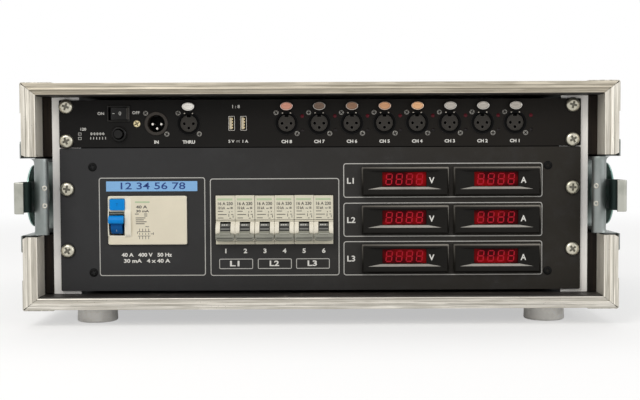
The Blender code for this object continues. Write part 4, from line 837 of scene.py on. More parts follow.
def laminate():
    """Phenolic film on plywood: dark brown-black, with its fine pressed mesh and dull scuffs."""
    made = Finish("phenolic_film", (0.020, 0.016, 0.014), 0.42)
    mesh = made.spots(420)
    scuff = made.noise(18, 6.0, 0.7)
    line = made.noise(160, 2.0, 0.5, (1, 0.05, 1)).step(0.62, 0.68) * scuff.step(0.5, 0.62)
    colour = made.mix(scuff.step(0.42, 0.75), (0.016, 0.013, 0.011), (0.045, 0.036, 0.030))
    colour = made.mix(line * 0.5, colour, (0.16, 0.14, 0.12))
    return made.dressed(colour, 0.36 + 0.25 * scuff, mesh.step(0.2, 0.5), 0.00015)


def stained_wood():
    """Nearly black stained packer wood with its grain along the height."""
    made = Finish("packer_wood", (0.012, 0.009, 0.007), 0.7, specular_ior_level=0.15)
    grain = made.noise(420, 4.0, 0.6, (1, 1, 0.05))
    colour = made.mix(grain.step(0.3, 0.7), (0.008, 0.006, 0.005), (0.022, 0.016, 0.012))
    return made.dressed(colour, 0.62 + 0.2 * grain, grain, 0.0002)


def rubber(name, tone, roughness=0.75):
    """Matt rubber with dusty patches."""
    made = Finish(name, tone, roughness)
    dust = made.noise(70, 5.0, 0.65)
    grain = made.noise(1200, 2.0, 0.5)
    colour = made.mix(dust.step(0.4, 0.7), tone, toned(tone, 1.25, 0.01))
    return made.dressed(colour, roughness + 0.12 * dust, grain, 0.00008)


def red_filter():
    """Red display filter: deep red, brighter in cloudy patches, with little gloss."""
    made = Finish("display_filter", (0.15, 0.004, 0.005), 0.35, specular_ior_level=0.05)
    cloud = made.noise(42, 2.0, 0.5)
    colour = made.mix(cloud.step(0.40, 0.68), (0.050, 0.001, 0.002), (0.27, 0.003, 0.004))
    return made.dressed(colour, 0.30 + 0.1 * cloud)


FINISHES = {
    # One aluminium in three tones as painted light: upper bars darker and warmer, uprights lightest.
    "rim_top": worn_aluminium("rim_aluminium_upper", "x", (0.50, 0.455, 0.37)),
    "rim_x": worn_aluminium("rim_aluminium_lower", "x", (0.66, 0.63, 0.57)),
    "rim_z": worn_aluminium("rim_aluminium_upright", "z", (0.71, 0.675, 0.60)),
    "edge_y": worn_aluminium("edge_aluminium_deep", "y", (0.56, 0.55, 0.52)),
    "brace": worn_aluminium("brace_aluminium", "z", (0.60, 0.58, 0.53)),
    "rail": plated_steel("rail_zinc", (1.0, 0.98, 0.95), 0.45, 0.15, (0.88, 0.86, 0.84), 0.1),
    "zinc": plated_steel("latch_zinc", (0.28, 0.30, 0.29), 0.35, 0.5, (0.60, 0.68, 0.66)),
    "wing": plated_steel("wing_zinc", (0.28, 0.42, 0.38), 0.26, 0.6, (0.35, 0.55, 0.55)),
    "hook": strap_zinc(),
    "eyelet": plated_steel("eyelet_nickel", (0.52, 0.50, 0.44), 0.30, 0.5, (0.5, 0.5, 0.45)),
    "screw": plated_steel("screw_nickel", (0.60, 0.57, 0.47), 0.28, 0.5, (0.50, 0.50, 0.42)),
    "small_screw": plated_steel("small_screw_steel", (0.22, 0.21, 0.19), 0.38, 0.5, (0.4, 0.4, 0.4)),
    "ear": plated_steel("ear_nickel", (0.42, 0.38, 0.32), 0.35, 0.5, (0.5, 0.5, 0.5)),
    "black_screw": moulded("blackened_screw", (0.004, 0.004, 0.004), 0.5, 0.8, gloss=0.12),
    "brass": plated_steel("brass", (0.76, 0.66, 0.40), 0.30, 0.4, (0.7, 0.6, 0.5)),
    "nickel": plated_steel("bright_nickel_plate", (0.80, 0.77, 0.72), 0.22, 0.3, (0.75, 0.70, 0.64)),
    # Nickel with painted reflection tints, one for each tab after the first.
    "grey_reflection_nickel": plated_steel("nickel_painted_grey_reflection", (0.50, 0.46, 0.41), 0.26, 0.4, (0.6, 0.6, 0.6)),
    "pale_copper_reflection_nickel": plated_steel("nickel_painted_pale_copper_reflection", (0.74, 0.43, 0.23), 0.26, 0.3, (0.80, 0.65, 0.55)),
    "copper_reflection_nickel": plated_steel("nickel_painted_copper_reflection", (0.60, 0.33, 0.18), 0.26, 0.4, (0.75, 0.60, 0.50)),
    "brown_reflection_nickel": plated_steel("nickel_painted_brown_reflection", (0.32, 0.19, 0.12), 0.28, 0.4, (0.6, 0.5, 0.5)),
    "dark_reflection_nickel": plated_steel("nickel_painted_dark_reflection", (0.17, 0.115, 0.085), 0.28, 0.4, (0.6, 0.6, 0.6)),
    "salmon_reflection_nickel": plated_steel("nickel_painted_salmon_reflection", (0.60, 0.29, 0.21), 0.26, 0.3, (0.85, 0.75, 0.70)),
    "gold": plated_steel("gold_contacts", (0.78, 0.62, 0.34), 0.25, 0.3, (0.7, 0.6, 0.5)),
    # Each panel's second tone is painted light towards its right end.
    "distributor": powder_coat("distributor_powder_coat", (0.031, 0.031, 0.032), right=(0.019, 0.016, 0.012)),
    "splitter": powder_coat("splitter_powder_coat", (0.0065, 0.006, 0.0055), 3200, 0.5, 0.12,
                            (0.011, 0.009, 0.007)),
    "chassis": powder_coat("chassis_paint", (0.018, 0.017, 0.016), 1800, 0.5),
    # Edge colours in these moulded finishes paint highlight on marked edges.
    "cream": moulded("breaker_cream", (0.81, 0.745, 0.59), 0.44, 0.95, gloss=0.3, edge=(0.95, 0.90, 0.76)),
    "module_cream": moulded("module_cream", (0.74, 0.70, 0.56), 0.44, 0.95, gloss=0.3,
                            edge=(0.92, 0.88, 0.76)),
    # Lighter copy of the breaker cream: painted highlight on raised shoulders.
    "cream_painted_highlight": moulded("breaker_cream_painted_highlight", (0.88, 0.83, 0.70), 0.38, 0.96, gloss=0.3),
    "blue": moulded("control_blue", (0.003, 0.27, 0.78), 0.36, 0.9, gloss=0.12, edge=(0.02, 0.40, 0.88)),
    # Lighter blue: painted highlight on the lever grip's upper face.
    "blue_painted_highlight": moulded("control_blue_painted_highlight", (0.02, 0.46, 0.86), 0.36, 0.9, gloss=0.15),
    "deep_blue": moulded("control_deep_blue", (0.003, 0.10, 0.34), 0.40, 0.85, gloss=0.12),
    "lever": moulded("lever_grey", (0.31, 0.31, 0.26), 0.40, 0.85, edge=(0.50, 0.50, 0.43)),
    # Grey of the ledge under the test button: painted shade.
    "ledge": moulded("ledge_painted_shade", (0.20, 0.22, 0.18), 0.40, 0.8),
    "drum": moulded("drum_grey", (0.022, 0.022, 0.020), 0.42, 0.75, gloss=0.2),
    "drum_band": moulded("drum_band_grey", (0.20, 0.20, 0.18), 0.40, 0.8),
    # Edge colour of the black plastic: painted highlight on marked edges such as the switch frame's top.
    "black": moulded("black_plastic", (0.008, 0.0075, 0.007), 0.34, 0.8, gloss=0.2,
                     edge=(0.035, 0.033, 0.03)),
    "matt_black": moulded("matt_black_plastic", (0.006, 0.0055, 0.005), 0.5, 0.8, gloss=0.2),
    # Edge colour of the insert: painted highlight, a pale crescent on its rim.
    "insert": moulded("insert_grey", (0.036, 0.032, 0.027), 0.5, 0.85, gloss=0.2, edge=(0.16, 0.15, 0.14)),
    # Edge colour of the shells: painted highlight along their outer top edge.
    "ring": moulded("connector_shell", (0.002, 0.002, 0.002), 0.45, 0.8, gloss=0.06,
                    edge=(0.08, 0.078, 0.075)),
    "inlet_ring": moulded("inlet_shell", (0.060, 0.051, 0.043), 0.42, 0.6, gloss=0.2),
    # Edge colour of the meter bezel: the painted highlight along its top edge.
    "meter": moulded("meter_black", (0.009, 0.008, 0.0065), 0.40, 0.8, gloss=0.12, edge=(0.46, 0.43, 0.38)),
    "dark_hole": moulded("dark_recess", (0.003, 0.003, 0.003), 0.7, 0.9, gloss=0.1),
    # Pale grey of the sheet that paints highlight on a meter's lower slope.
    "slope_highlight_grey": moulded("meter_slope_highlight", (0.46, 0.44, 0.40), 0.36, 0.75, gloss=0.3),
    "filter": red_filter(),
    "segment": moulded("display_segment", (0.50, 0.014, 0.030), 0.4, 0.85, gloss=0.08),
    "label": printed("label_blue", (0.23, 0.46, 0.77), 0.5),
    "label_ink": printed("label_ink", (0.006, 0.040, 0.20), 0.5),
    "ink": printed("panel_ink", (0.76, 0.745, 0.70)),
    "line": printed("panel_line_ink", (0.50, 0.49, 0.46)),
    "grey_ink": printed("breaker_ink", (0.085, 0.08, 0.07)),
    "green_ink": printed("breaker_green_ink", (0.48, 0.58, 0.37)),
    "mark_ink": printed("drum_ink", (0.60, 0.60, 0.57)),
    "tongue": moulded("port_tongue", (0.68, 0.60, 0.44), 0.4, 0.85),
    "red_lamp": moulded("red_lamp", (0.10, 0.003, 0.010), 0.3, 0.7, gloss=0.2),
    "dark_lamp": moulded("dark_lamp", (0.010, 0.007, 0.007), 0.3, 0.7, gloss=0.2),
    "laminate": laminate(),
    "wood": stained_wood(),
    "foot": rubber("foot_rubber", (0.90, 0.89, 0.87), 0.6),
    "grip": rubber("grip_rubber", (0.022, 0.022, 0.023)),
    "inlet_red": moulded("inlet_red", (0.42, 0.020, 0.016), 0.35, 0.85, 0.1),
    "socket_blue": moulded("socket_blue", (0.012, 0.055, 0.22), 0.35, 0.85, 0.1),
}


def middle_height(node):
    low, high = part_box(node)
    return (low.z + high.z) / 2


FRONT_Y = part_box("front_upper_rim")[0].y
FACE_Y = FRONT_Y + PANEL_SETBACK * MM
SPLITTER = Place((0, FACE_Y, middle_height("splitter_chassis")), X, Z, (0, -1, 0))
DISTRIBUTOR = Place((0, FACE_Y, middle_height("distributor_chassis")), X, Z, (0, -1, 0))


def upright(side, end):
    """Across the case, depth behind a rim and height over the middle of the case."""
    return Place((0, end * HALF_DEPTH * MM, CASE_MIDDLE * MM), (side, 0, 0), (0, -end, 0), Z)


def flank(side, end):
    """Depth behind a rim, height over the middle of the case and distance across it."""
    return upright(side, end).swung(1, 2, 0)


def rivet(shape, place, centre, radius, height):
    """Domed rivet: t = h cos(a), r = R sin(a)."""
    angle = np.linspace(0, math.pi / 2, 6)
    dome = np.stack([radius * np.sin(angle), height * np.cos(angle)], -1)
    turned(shape, place, centre, np.concatenate([dome, [(radius, -0.15), (0, -0.15)]]), 20)


# The case

def rim_section():
    """Rim section as (in from the outer face, depth): outer band with a fine groove, a bead, a cove, and
    an inner wall that sits back between its two lips."""
    lip = RIM_FACE - 0.3
    outline = [(0, RIM_OUTER_DEPTH), (0, 0.5), (4.1, 0.5), (4.3, 0.8), (4.6, 0.5), (6.0, 0.5), (6.5, 0)]
    outline += [(7.6, 0), (8.2, 1.1), (11.2, 1.5), (12.0, 0.5), (RIM_FACE, 0.8), (RIM_FACE, 2.8), (lip, 3.2)]
    outline += [(lip, 23.8), (RIM_FACE, 24.2), (RIM_FACE, RIM_INNER_DEPTH)]
    outline += [(RIM_FACE - RIM_WALL, RIM_INNER_DEPTH), (RIM_FACE - RIM_WALL, RIM_WEB), (EDGE_WALL, RIM_WEB)]
    return softened(outline + [(EDGE_WALL, RIM_OUTER_DEPTH)], 0.35, 2)


def rim_marks(section):
    """Painted shade in the groove, in the cove and down the inner wall, and painted highlight on the bead and
    on the lips.
    """
    across, depth = section[:, 0], section[:, 1]
    groove = (across > 4.0) & (across < 4.7) & (depth > 0.6) & (depth < 1)
    bead = (across > 6.3) & (across < 7.8) & (depth < 0.3)
    cove = (across > 8.0) & (across < 11.6) & (depth > 0.9) & (depth < 2)
    lips = (across > 11.8) & ((depth < 3) | (depth > 24))
    wall = (across > 12.5) & (depth > 3) & (depth < 24)
    return np.select([groove, bead, cove, lips, wall], [-0.9, 1.0, -0.3, 0.5, WALL_SHADE], 0.0)


def rims():
    """Each half rim: its bar with mitred ends, its two legs, and the braces on its corners."""
    section = rim_section()
    marks = rim_marks(section)
    # On the legs the inner wall is marked for painted highlight instead of painted shade.
    leg_marks = np.where(marks == WALL_SHADE, 1.0, marks)
    count = len(section)
    inward, depth = section[:, 0], section[:, 1]
    seam = MITRE_GAP + 0.8 * np.clip(1 - inward, 0, 1) * (depth < 3)
    rise = HALF_HEIGHT - inward * BAR_FACE / RIM_FACE
    bend = np.clip(1 - inward / LEG_ROUND, 0, 1)
    start = NOTCH_HALF + LEG_ROUND * (1 - np.sqrt(1 - bend ** 2))
    faces = cells(2, count) + [list(range(count)), list(range(count, 2 * count))]
    for end_name, end in ENDS.items():
        for level_name, up in LEVELS.items():
            node = f"{end_name}_{level_name}_rim"
            place = Place((0, end * HALF_DEPTH * MM, CASE_MIDDLE * MM), X, (0, 0, up), (0, end, 0))
            bar, legs, braces = shapes(3)
            reach = HALF_WIDTH - inward - seam
            bar.add(place.at(np.stack([np.stack([side * reach, rise, -depth], -1) for side in (-1, 1)])),
                    faces, np.tile(marks, 2))
            for side in (-1, 1):
                across = side * (HALF_WIDTH - inward)
                ends = [np.stack([across, stop, -depth], -1) for stop in (start, rise - seam)]
                legs.add(place.at(np.stack(ends)), faces, np.tile(leg_marks, 2))
                corner_brace(braces, Place(place.origin, (side, 0, 0), (0, 0, up), (0, end, 0)))
            long = "rim_top" if up > 0 else "rim_x"
            piece(f"{node}_bar", bar, long, replaces=[node])
            piece(f"{node}_legs", legs, "rim_z")
            piece(f"{node}_braces", braces, "brace")


def corner_brace(shape, place):
    """Sheet bent round an outer corner of the rim, with two flat rivets on each leg."""
    low, high = HALF_WIDTH - BRACE_LEG, HALF_WIDTH + BRACE_SHEET
    roof = HALF_HEIGHT + BRACE_SHEET
    line = [(high, HALF_HEIGHT - BRACE_LEG), (high, roof), (low, roof)]
    path = softened(line, [0, 2.2, 0], 6, closed=False)
    sheet(shape, place, path, BRACE_SHEET, -BRACE_START - BRACE_DEPTH, -BRACE_START, 0.25)
    top = place.moved(q=roof).swung(0, 2, 1)
    wall = place.moved(p=high).swung(1, 2, 0)
    for reach in (9, 20):
        rivet(shape, top, (HALF_WIDTH - reach, -BRACE_START - BRACE_DEPTH / 2), 2.2, 0.28)
        rivet(shape, wall, (HALF_HEIGHT - reach, -BRACE_START - BRACE_DEPTH / 2), 2.2, 0.28)


def edge_angles():
    """Angle along each long corner of the case, with rivets in both legs."""
    start = RIM_OUTER_DEPTH + GAP
    for level_name, up in LEVELS.items():
        for side_name, side in SIDES.items():
            place = Place(CENTRE, (side, 0, 0), (0, 0, up), Y)
            low = HALF_WIDTH - ANGLE_LEG
            line = [(HALF_WIDTH, HALF_HEIGHT - ANGLE_LEG), (HALF_WIDTH, HALF_HEIGHT), (low, HALF_HEIGHT)]
            shape = Shape()
            path = softened(line, [0, 2.4, 0], 6, closed=False)
            sheet(shape, place, path, EDGE_WALL, -HALF_DEPTH + start, HALF_DEPTH - start, 0.4)
            piece(f"{level_name}_{side_name}_edge_angle", shape, "edge_y")
            heads = Shape()
            roof = place.moved(q=HALF_HEIGHT).swung(0, 2, 1)
            outside = place.moved(p=HALF_WIDTH).swung(1, 2, 0)
            for depth in np.linspace(-HALF_DEPTH + 45, HALF_DEPTH - 45, 6):
                rivet(heads, roof, (HALF_WIDTH - 20, depth), 2.3, 0.9)
                if abs(depth) < 100:
                    rivet(heads, outside, (HALF_HEIGHT - 20, depth), 2.3, 0.9)
            piece(f"{level_name}_{side_name}_edge_rivets", heads, "screw")


def boards():
    """The four boards, the side ones with their latch notches and handle hole, and the packers."""
    for level_name, up in (("top", 1), ("bottom", -1)):
        place = Place(CENTRE, X, Y, (0, 0, up))
        edge = BOARD_INNER - GAP
        shape = Shape()
        outline = rounded(2 * edge, 2 * (HALF_DEPTH - BOARD_START), 0.5, steps=2)
        plate(shape, place, outline, LID_INNER, LID_OUTER, bevel=0.3, both=True)
        piece(f"{level_name}_board", shape, "laminate",
              replaces=[f"{level_name}_panel"])
    for side_name, side in SIDES.items():
        place = Place(CENTRE, Y, Z, (side, 0, 0))
        reach = HALF_DEPTH - BOARD_START
        notch = HALF_DEPTH - DISH_MOUTH_END - SHEET - GAP
        outline = [(-reach, -LID_OUTER), (reach, -LID_OUTER), (reach, -NOTCH_HALF), (notch, -NOTCH_HALF)]
        outline += [(notch, NOTCH_HALF), (reach, NOTCH_HALF), (reach, LID_OUTER), (-reach, LID_OUTER)]
        outline += [(-reach, NOTCH_HALF), (-notch, NOTCH_HALF), (-notch, -NOTCH_HALF), (-reach, -NOTCH_HALF)]
        hole = rounded(HANDLE_POCKET[0] + 3.0, HANDLE_POCKET[1] + 3.0, 3)
        shape = Shape()
        plate(shape, place, softened(outline, 0.5, 2), BOARD_INNER, BOARD_OUTER, [hole], bevel=0.2)
        piece(f"{side_name}_side_board", shape, "laminate",
              replaces=[f"{side_name}_side_panel"])
        packers = Shape()
        for end in ENDS.values():
            for low, high in ((NOTCH_HALF, RAIL_HALF), (-RAIL_HALF, -NOTCH_HALF)):
                outline = rounded(PACKER_DEPTH, high - low, 0.6, (0, (low + high) / 2), steps=2)
                local = place.moved(end * (HALF_DEPTH - PACKER_FRONT - PACKER_DEPTH / 2), 0, BOARD_INNER)
                plate(packers, local, outline, -PACKER_WIDTH, -0.05, bevel=0.4, both=True)
        piece(f"{side_name}_packers", packers, "wood")


def feet():
    """Turned rubber feet, each with a washer and a screw sunk into it."""
    profile = [(0, 8), (8, 8), (8, 0), (18, 0), (19, 1.2), (18.2, 16.9), (0, 16.9)]
    for corner in CORNERS:
        node = f"{corner}_foot"
        low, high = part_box(node)
        top = (high.z - low.z) / MM
        place = Place(((low.x + high.x) / 2, (low.y + high.y) / 2, low.z), X, Y, Z)
        pad, screw = shapes(2)
        heights = [(radius, min(t, top)) for radius, t in profile]
        turned(pad, place, (0, 0), softened(heights, 1.0, 3, closed=False), 56)
        piece(node + "_pad", pad, "foot", replaces=[node])
        down = Place(place.at((0, 0, 7.9)), X, (0, -1, 0), (0, 0, -1))
        tube(screw, down, (0, 0), 7.4, 3, 0, 1, 0.3, 2, 32)
        cross_head(screw, down.moved(t=1), (0, 0), 4.6, 2.6, (0.8, 3.0), 1.4)
        piece(node + "_screw", screw, "screw")


# Latches and handles

def latch_dish(corner, side, end):
    """Pressed dish: flange with a mouth, walls that curve into the floor, and the rolled lip."""
    flat = flank(side, end)
    turn = flat.swung(2, 0, 1)
    pan, heads = shapes(2)
    inner, far = DISH_MOUTH_HALF, DISH_MOUTH_END
    outline = [(DISH_SETBACK, -DISH_FLANGE_HALF), (DISH_FLANGE_END, -DISH_FLANGE_HALF)]
    outline += [(DISH_FLANGE_END, DISH_FLANGE_HALF), (DISH_SETBACK, DISH_FLANGE_HALF)]
    outline += [(DISH_SETBACK, inner), (far, inner), (far, -inner), (DISH_SETBACK, -inner)]
    soft = softened(outline, [3, 6, 6, 3, 0.5, 9, 9, 0.5], 5)
    plate(pan, flat, soft, DISH_OUTER - SHEET, DISH_OUTER, bevel=0.35, both=True)
    wall = [(LIP_DEPTH, inner), (far, inner), (far, -inner), (LIP_DEPTH, -inner)]
    wall = softened(wall, [0, 9, 9, 0], 5, closed=False)
    section = [(-0.05, DISH_OUTER - 0.5), (-0.05, DISH_FLOOR + 3.5), (1.0, DISH_FLOOR + 1.1)]
    section += [(3.6, DISH_FLOOR + 0.05), (3.6, DISH_FLOOR - SHEET + 0.1), (0.4, DISH_FLOOR - SHEET + 0.2)]
    section = np.array(section + [(-SHEET, DISH_FLOOR + 3.0), (-SHEET, DISH_OUTER - 0.5)])
    # The outer face of the dish wall is marked for painted shade.
    outside = (section[:, 0] < 0.5) & (np.arange(len(section)) > 3)
    skin(pan, flat.at(carried(wall, section)), np.where(outside, -1.0, 0.0)[None])
    dish_lip(pan, turn)
    piece(f"{corner}_latch_pan", pan, "zinc", replaces=[f"{corner}_latch_dish"])
    for rise in (-DISH_RIVET_RISE, DISH_RIVET_RISE):
        for depth in DISH_RIVET_DEPTHS:
            rivet(heads, flat.moved(t=DISH_OUTER), (depth, rise), 2.4, 0.02)
    sine, cosine = math.sin(EYELET_SLOPE), math.cos(EYELET_SLOPE)
    sideways, forward = LIP_RADIUS * sine, LIP_RADIUS * cosine
    outward = turn.axes[0] * sine - turn.axes[1] * cosine
    for rise in (-EYELET_RISE, EYELET_RISE):
        spot = turn.at((LIP_CREST - LIP_RADIUS + sideways, LIP_DEPTH - forward, rise))
        eyelet(heads, Place(spot, turn.axes[2], np.cross(outward, turn.axes[2]), outward))
    piece(f"{corner}_latch_rivets", heads, "eyelet")


def dish_lip(shape, turn):
    """Rolled lip over the mouth: half a circle, a cosine fall to the floor, and near the walls a rise by
    c (1 - cos a) over c sin a, in full at the crest and none at the inner edge."""
    roll = arc((LIP_CREST - LIP_RADIUS, LIP_DEPTH), LIP_RADIUS, math.pi, 2 * math.pi, 22)
    share = np.linspace(0, 1, 12)[1:]
    fall = LIP_CREST - (LIP_CREST - DISH_FLOOR) * (1 - np.cos(math.pi * share)) / 2
    outline = folded(np.concatenate([roll, np.stack([fall, LIP_DEPTH + LIP_FALL * share], -1)]), SHEET)
    angle = np.linspace(math.pi / 2, 0, 6)
    ends = DISH_MOUTH_HALF - GAP - LIP_CURVE * (1 - np.sin(angle))
    middle = np.linspace(-ends[-1], ends[-1], 9)[1:-1]
    heights = np.concatenate([-ends, middle, ends[::-1]])
    rise = LIP_CURVE * (1 - np.cos(angle))
    rise = np.concatenate([rise, 0 * middle, rise[::-1]])
    part = np.clip((outline[:, 0] - LIP_CREST) / (2 * LIP_RADIUS) + 1, 0, 1)
    across = outline[:, 0] + rise[:, None] * part
    depth = np.broadcast_to(outline[:, 1], across.shape)
    upward = np.broadcast_to(heights[:, None], across.shape)
    count = len(outline)
    strip = np.arange(count // 2 - 1)
    strip = np.stack([strip, strip + 1, count - 2 - strip, count - 1 - strip], -1) + shape.total
    skin(shape, turn.at(np.stack([across, depth, upward], -1)), caps=False)
    shape.faces += strip.tolist() + (strip + count * (len(heights) - 1)).tolist()


def eyelet(shape, place):
    """Hollow rivet: a rolled ring round a hole whose floor is marked for painted shade."""
    turned(shape, place, (0, 0), softened([(1.0, -0.6), (2.5, -0.6), (2.5, 0.4), (1.0, 0.4)], 0.4, 3), 28)
    drum(shape, place, (0, 0), 1.1, -0.2, -0.6, 20, marks=-1.0)


def leaf(shape, place, sign, low, high):
    """Half of the butterfly with a pressed rim, cut beside the hinge line."""
    inset = KNUCKLE_RADIUS + 0.6
    reach = math.acos(inset / WING_RADIUS)
    edge = arc((0, 0), WING_RADIUS, -reach, reach, 26)
    outline = np.stack([edge[:, 0] * sign, edge[:, 1]], -1)
    tip = edge[-1, 1]
    if sign > 0:
        extra = [(0, tip), (0, KNUCKLE_HALF + GAP), (inset, KNUCKLE_HALF + GAP)]
        extra += [(inset, -KNUCKLE_HALF - GAP), (0, -KNUCKLE_HALF - GAP), (0, -tip)]
    else:
        extra = [(-inset, KNUCKLE_HALF), (0, KNUCKLE_HALF), (0, -KNUCKLE_HALF), (-inset, -KNUCKLE_HALF)]
    outline = np.concatenate([outline, extra])
    plate(shape, place, outline, low, high, bevel=0.25, both=True, steps=1)
    rib = arc((0, 0), WING_RADIUS - 4.0, -reach * 0.84, reach * 0.84, 20)
    path = leveled(np.stack([rib[:, 0] * sign, rib[:, 1]], -1), high - 0.1)
    swept(shape, place.at(path), arc((0, 0), 0.9, 0, math.pi, 6) * (1.6, 0.75), place.axes[2])


def latch(corner, side, end):
    """Rotor with its cam, cover and fixed leaf, the leaf that folds, and the hook round the cam."""
    hub = flank(side, end).moved(p=LATCH_SETBACK)
    cam = (CAM_SETBACK - LATCH_SETBACK, 0)
    low, high = WING_AXIS - WING_SHEET / 2, WING_AXIS + WING_SHEET / 2
    upward = hub.moved(t=WING_AXIS).swung(0, 2, 1)
    rotor, wing, hook = shapes(3)
    drum(rotor, hub, (0, 0), 8, DISH_FLOOR + GAP, HOOK_LOW - GAP, 36)
    drum(rotor, hub, cam, 7, HOOK_LOW - GAP - 0.2, PLATE_LOW + 0.2, 36)
    drum(rotor, hub, (0, 0), 13, PLATE_LOW, PLATE_TOP, 44, 0.5, 3)
    leaf(rotor, hub, 1, low, high)
    post = rounded(5.5, 15.6, 1.0, (6.35, 0))
    plate(rotor, hub, post, PLATE_TOP - 0.1, low + 0.1, bevel=0.1, steps=1)
    for ends in ((-KNUCKLE_END, -KNUCKLE_HALF - GAP), (KNUCKLE_HALF + GAP, KNUCKLE_END)):
        drum(rotor, upward, (0, 0), KNUCKLE_RADIUS, *ends, 20, 0.3)
    leaf(wing, hub, -1, low, high)
    drum(wing, upward, (0, 0), KNUCKLE_RADIUS, -KNUCKLE_HALF, KNUCKLE_HALF, 20)
    window = rounded(16.4, 24.0, 3.0, cam, 6)
    plate(hook, hub, rounded(25.4, 33.0, 5.0, cam, 6), HOOK_LOW, HOOK_LOW + HOOK_SHEET, [window], bevel=0.3)
    strap(hook, flank(side, end))
    for name, shape, finish, body in (("cam", rotor, "wing", "rotor"), ("leaf", wing, "wing", "wing"),
                                      ("strap", hook, "hook", "hook")):
        node = f"{corner}_latch_{body}"
        piece(f"{corner}_latch_{name}", shape, finish, node, [node])


def strap(shape, flat):
    """Cranked strap with its claw: a sheet along a bent line, rounded along both edges."""
    high = HOOK_LOW + HOOK_SHEET
    outer = HALF_WIDTH - 0.2
    line = [(27.0, high), (5.2, high), (5.2 - (outer - high) * 1.4, outer), (-27.5, outer)]
    path = softened(line + [(-27.5, outer - 8.7)], [0, 4, 4, 3.4, 0], 6, closed=False)
    sheet(shape, flat.swung(0, 2, 1), path, HOOK_SHEET, -14, 14, 0.9)


def latches():
    """Dish, rotor, wing and hook on each corner."""
    for corner, (side, end) in CORNERS.items():
        latch_dish(corner, side, end)
        latch(corner, side, end)


def handles():
    """Recessed handle dishes: a flange, walls that curve into the floor, lugs, rivets and the bail."""
    for side_name, side in SIDES.items():
        face = Place(CENTRE, Y, Z, (side, 0, 0))
        pan = Shape()
        outer, inner = rounded(*HANDLE_FLANGE, 6, steps=5), rounded(*HANDLE_POCKET, 6, steps=5)
        levels = [(outer, BOARD_OUTER), (outer, HANDLE_OUTER - 0.4), (shrunk(outer, 0.4), HANDLE_OUTER)]
        levels += [(shrunk(inner, -0.8), HANDLE_OUTER), (inner, HANDLE_OUTER - 0.8)]
        levels += [(inner, HANDLE_FLOOR + 2.5), (shrunk(inner, 0.8), HANDLE_FLOOR + 0.8)]
        levels += [(shrunk(inner, 2.8), HANDLE_FLOOR)]
        levels += [(shrunk(inner, 2.8), HANDLE_FLOOR - SHEET), (shrunk(inner, -SHEET), HANDLE_FLOOR + 1.0)]
        levels += [(shrunk(inner, -SHEET), BOARD_OUTER)]
        lofted(pan, face, levels)
        floor = shrunk(inner, 2.6)
        plate(pan, face, floor, HANDLE_FLOOR - SHEET, HANDLE_FLOOR, bevel=0.05, both=True, steps=1)
        for end in (-1, 1):
            lug = rounded(10, 14, 2.5, (end * (BAIL_ARM_HALF + BAIL_RADIUS + SHEET + 5), BAIL_PIVOT))
            plate(pan, face, lug, HANDLE_FLOOR - 0.1, BAIL_AXIS + BAIL_RADIUS + SHEET, bevel=0.8, steps=3)
        piece(f"{side_name}_handle_dish", pan, "zinc")
        heads = Shape()
        for along in HANDLE_RIVETS:
            for rise in (-HANDLE_RIVET_RISE, HANDLE_RIVET_RISE):
                rivet(heads, face.moved(t=HANDLE_OUTER), (along, rise), 2.4, 0.9)
        piece(f"{side_name}_handle_rivets", heads, "hook")
        bail(side_name, side)


def bail(side_name, side):
    """Round bar through smooth bends from pin to pin, and a ribbed sleeve on its long run."""
    body = f"{side_name}_handle_grip"
    place = Place((side * BAIL_AXIS * MM, 0, (CASE_MIDDLE + BAIL_PIVOT) * MM), Y, Z, (side, 0, 0))
    line = [(BAIL_PIN_HALF, 0), (BAIL_ARM_HALF, 0), (BAIL_ARM_HALF, -BAIL_DROP), (-BAIL_ARM_HALF, -BAIL_DROP)]
    line += [(-BAIL_ARM_HALF, 0), (-BAIL_PIN_HALF, 0)]
    path = softened(line, [0, 7, 9, 9, 7, 0], 8, closed=False)
    bar = Shape()
    swept(bar, place.at(leveled(path, 0)), circle(BAIL_RADIUS, sides=20), place.axes[2])
    piece(f"{side_name}_handle_bail", bar, "zinc", body, [body])
    sleeve = Shape()
    along = np.linspace(-SLEEVE_HALF, SLEEVE_HALF, 150)
    ribs = 6.3 - 0.35 * (np.sin(along * math.pi / RIB_HALF) > 0.55)
    radius = np.minimum(ribs, 4.2 + np.sqrt(np.maximum(0, SLEEVE_HALF - np.abs(along))) * 2.0)
    points = np.stack([along, np.full_like(along, -BAIL_DROP), np.zeros_like(along)], -1)
    swept(sleeve, place.at(points), circle(1.0, sides=28), place.axes[2], radius)
    piece(f"{side_name}_handle_sleeve", sleeve, "grip", body)


# Front panels

def rack_slots(rise):
    """The four mounting holes of a panel, at one distance over and under its middle."""
    return [rounded(10, 6.6, 3.29, (side * RACK_HOLE_HALF, up * rise), 8)
            for side in (-1, 1) for up in (-1, 1)]


def rack_screws():
    """Pan-head rack screws on a black ring that paints the shade round each head, each turned to its own
    angle.
    """
    heads, shade_rings = shapes(2)
    spots = [(SPLITTER, SPLITTER_SLOT_RISE), (DISTRIBUTOR, DISTRIBUTOR_SLOT_RISE)]
    spots = [(place, side * RACK_SCREW_X[side], up * rise) for place, rise in spots for side in (-1, 1)
             for up in (-1, 1)]
    for number, (place, x, z) in enumerate(spots):
        # The black ring under the head is painted shade.
        tube(shade_rings, place, (x, z), 6.9, 3.2, 0, 0.8, 0.2, 2, 36)
        cross_head(heads, place.moved(t=0.8), (x, z), 6.6, 3.1, (0.95, 3.3), 1.7, 0.4 + 0.83 * number)
    piece("rack_screws", heads, "screw")
    piece("rack_screw_shade_rings", shade_rings, "matt_black")


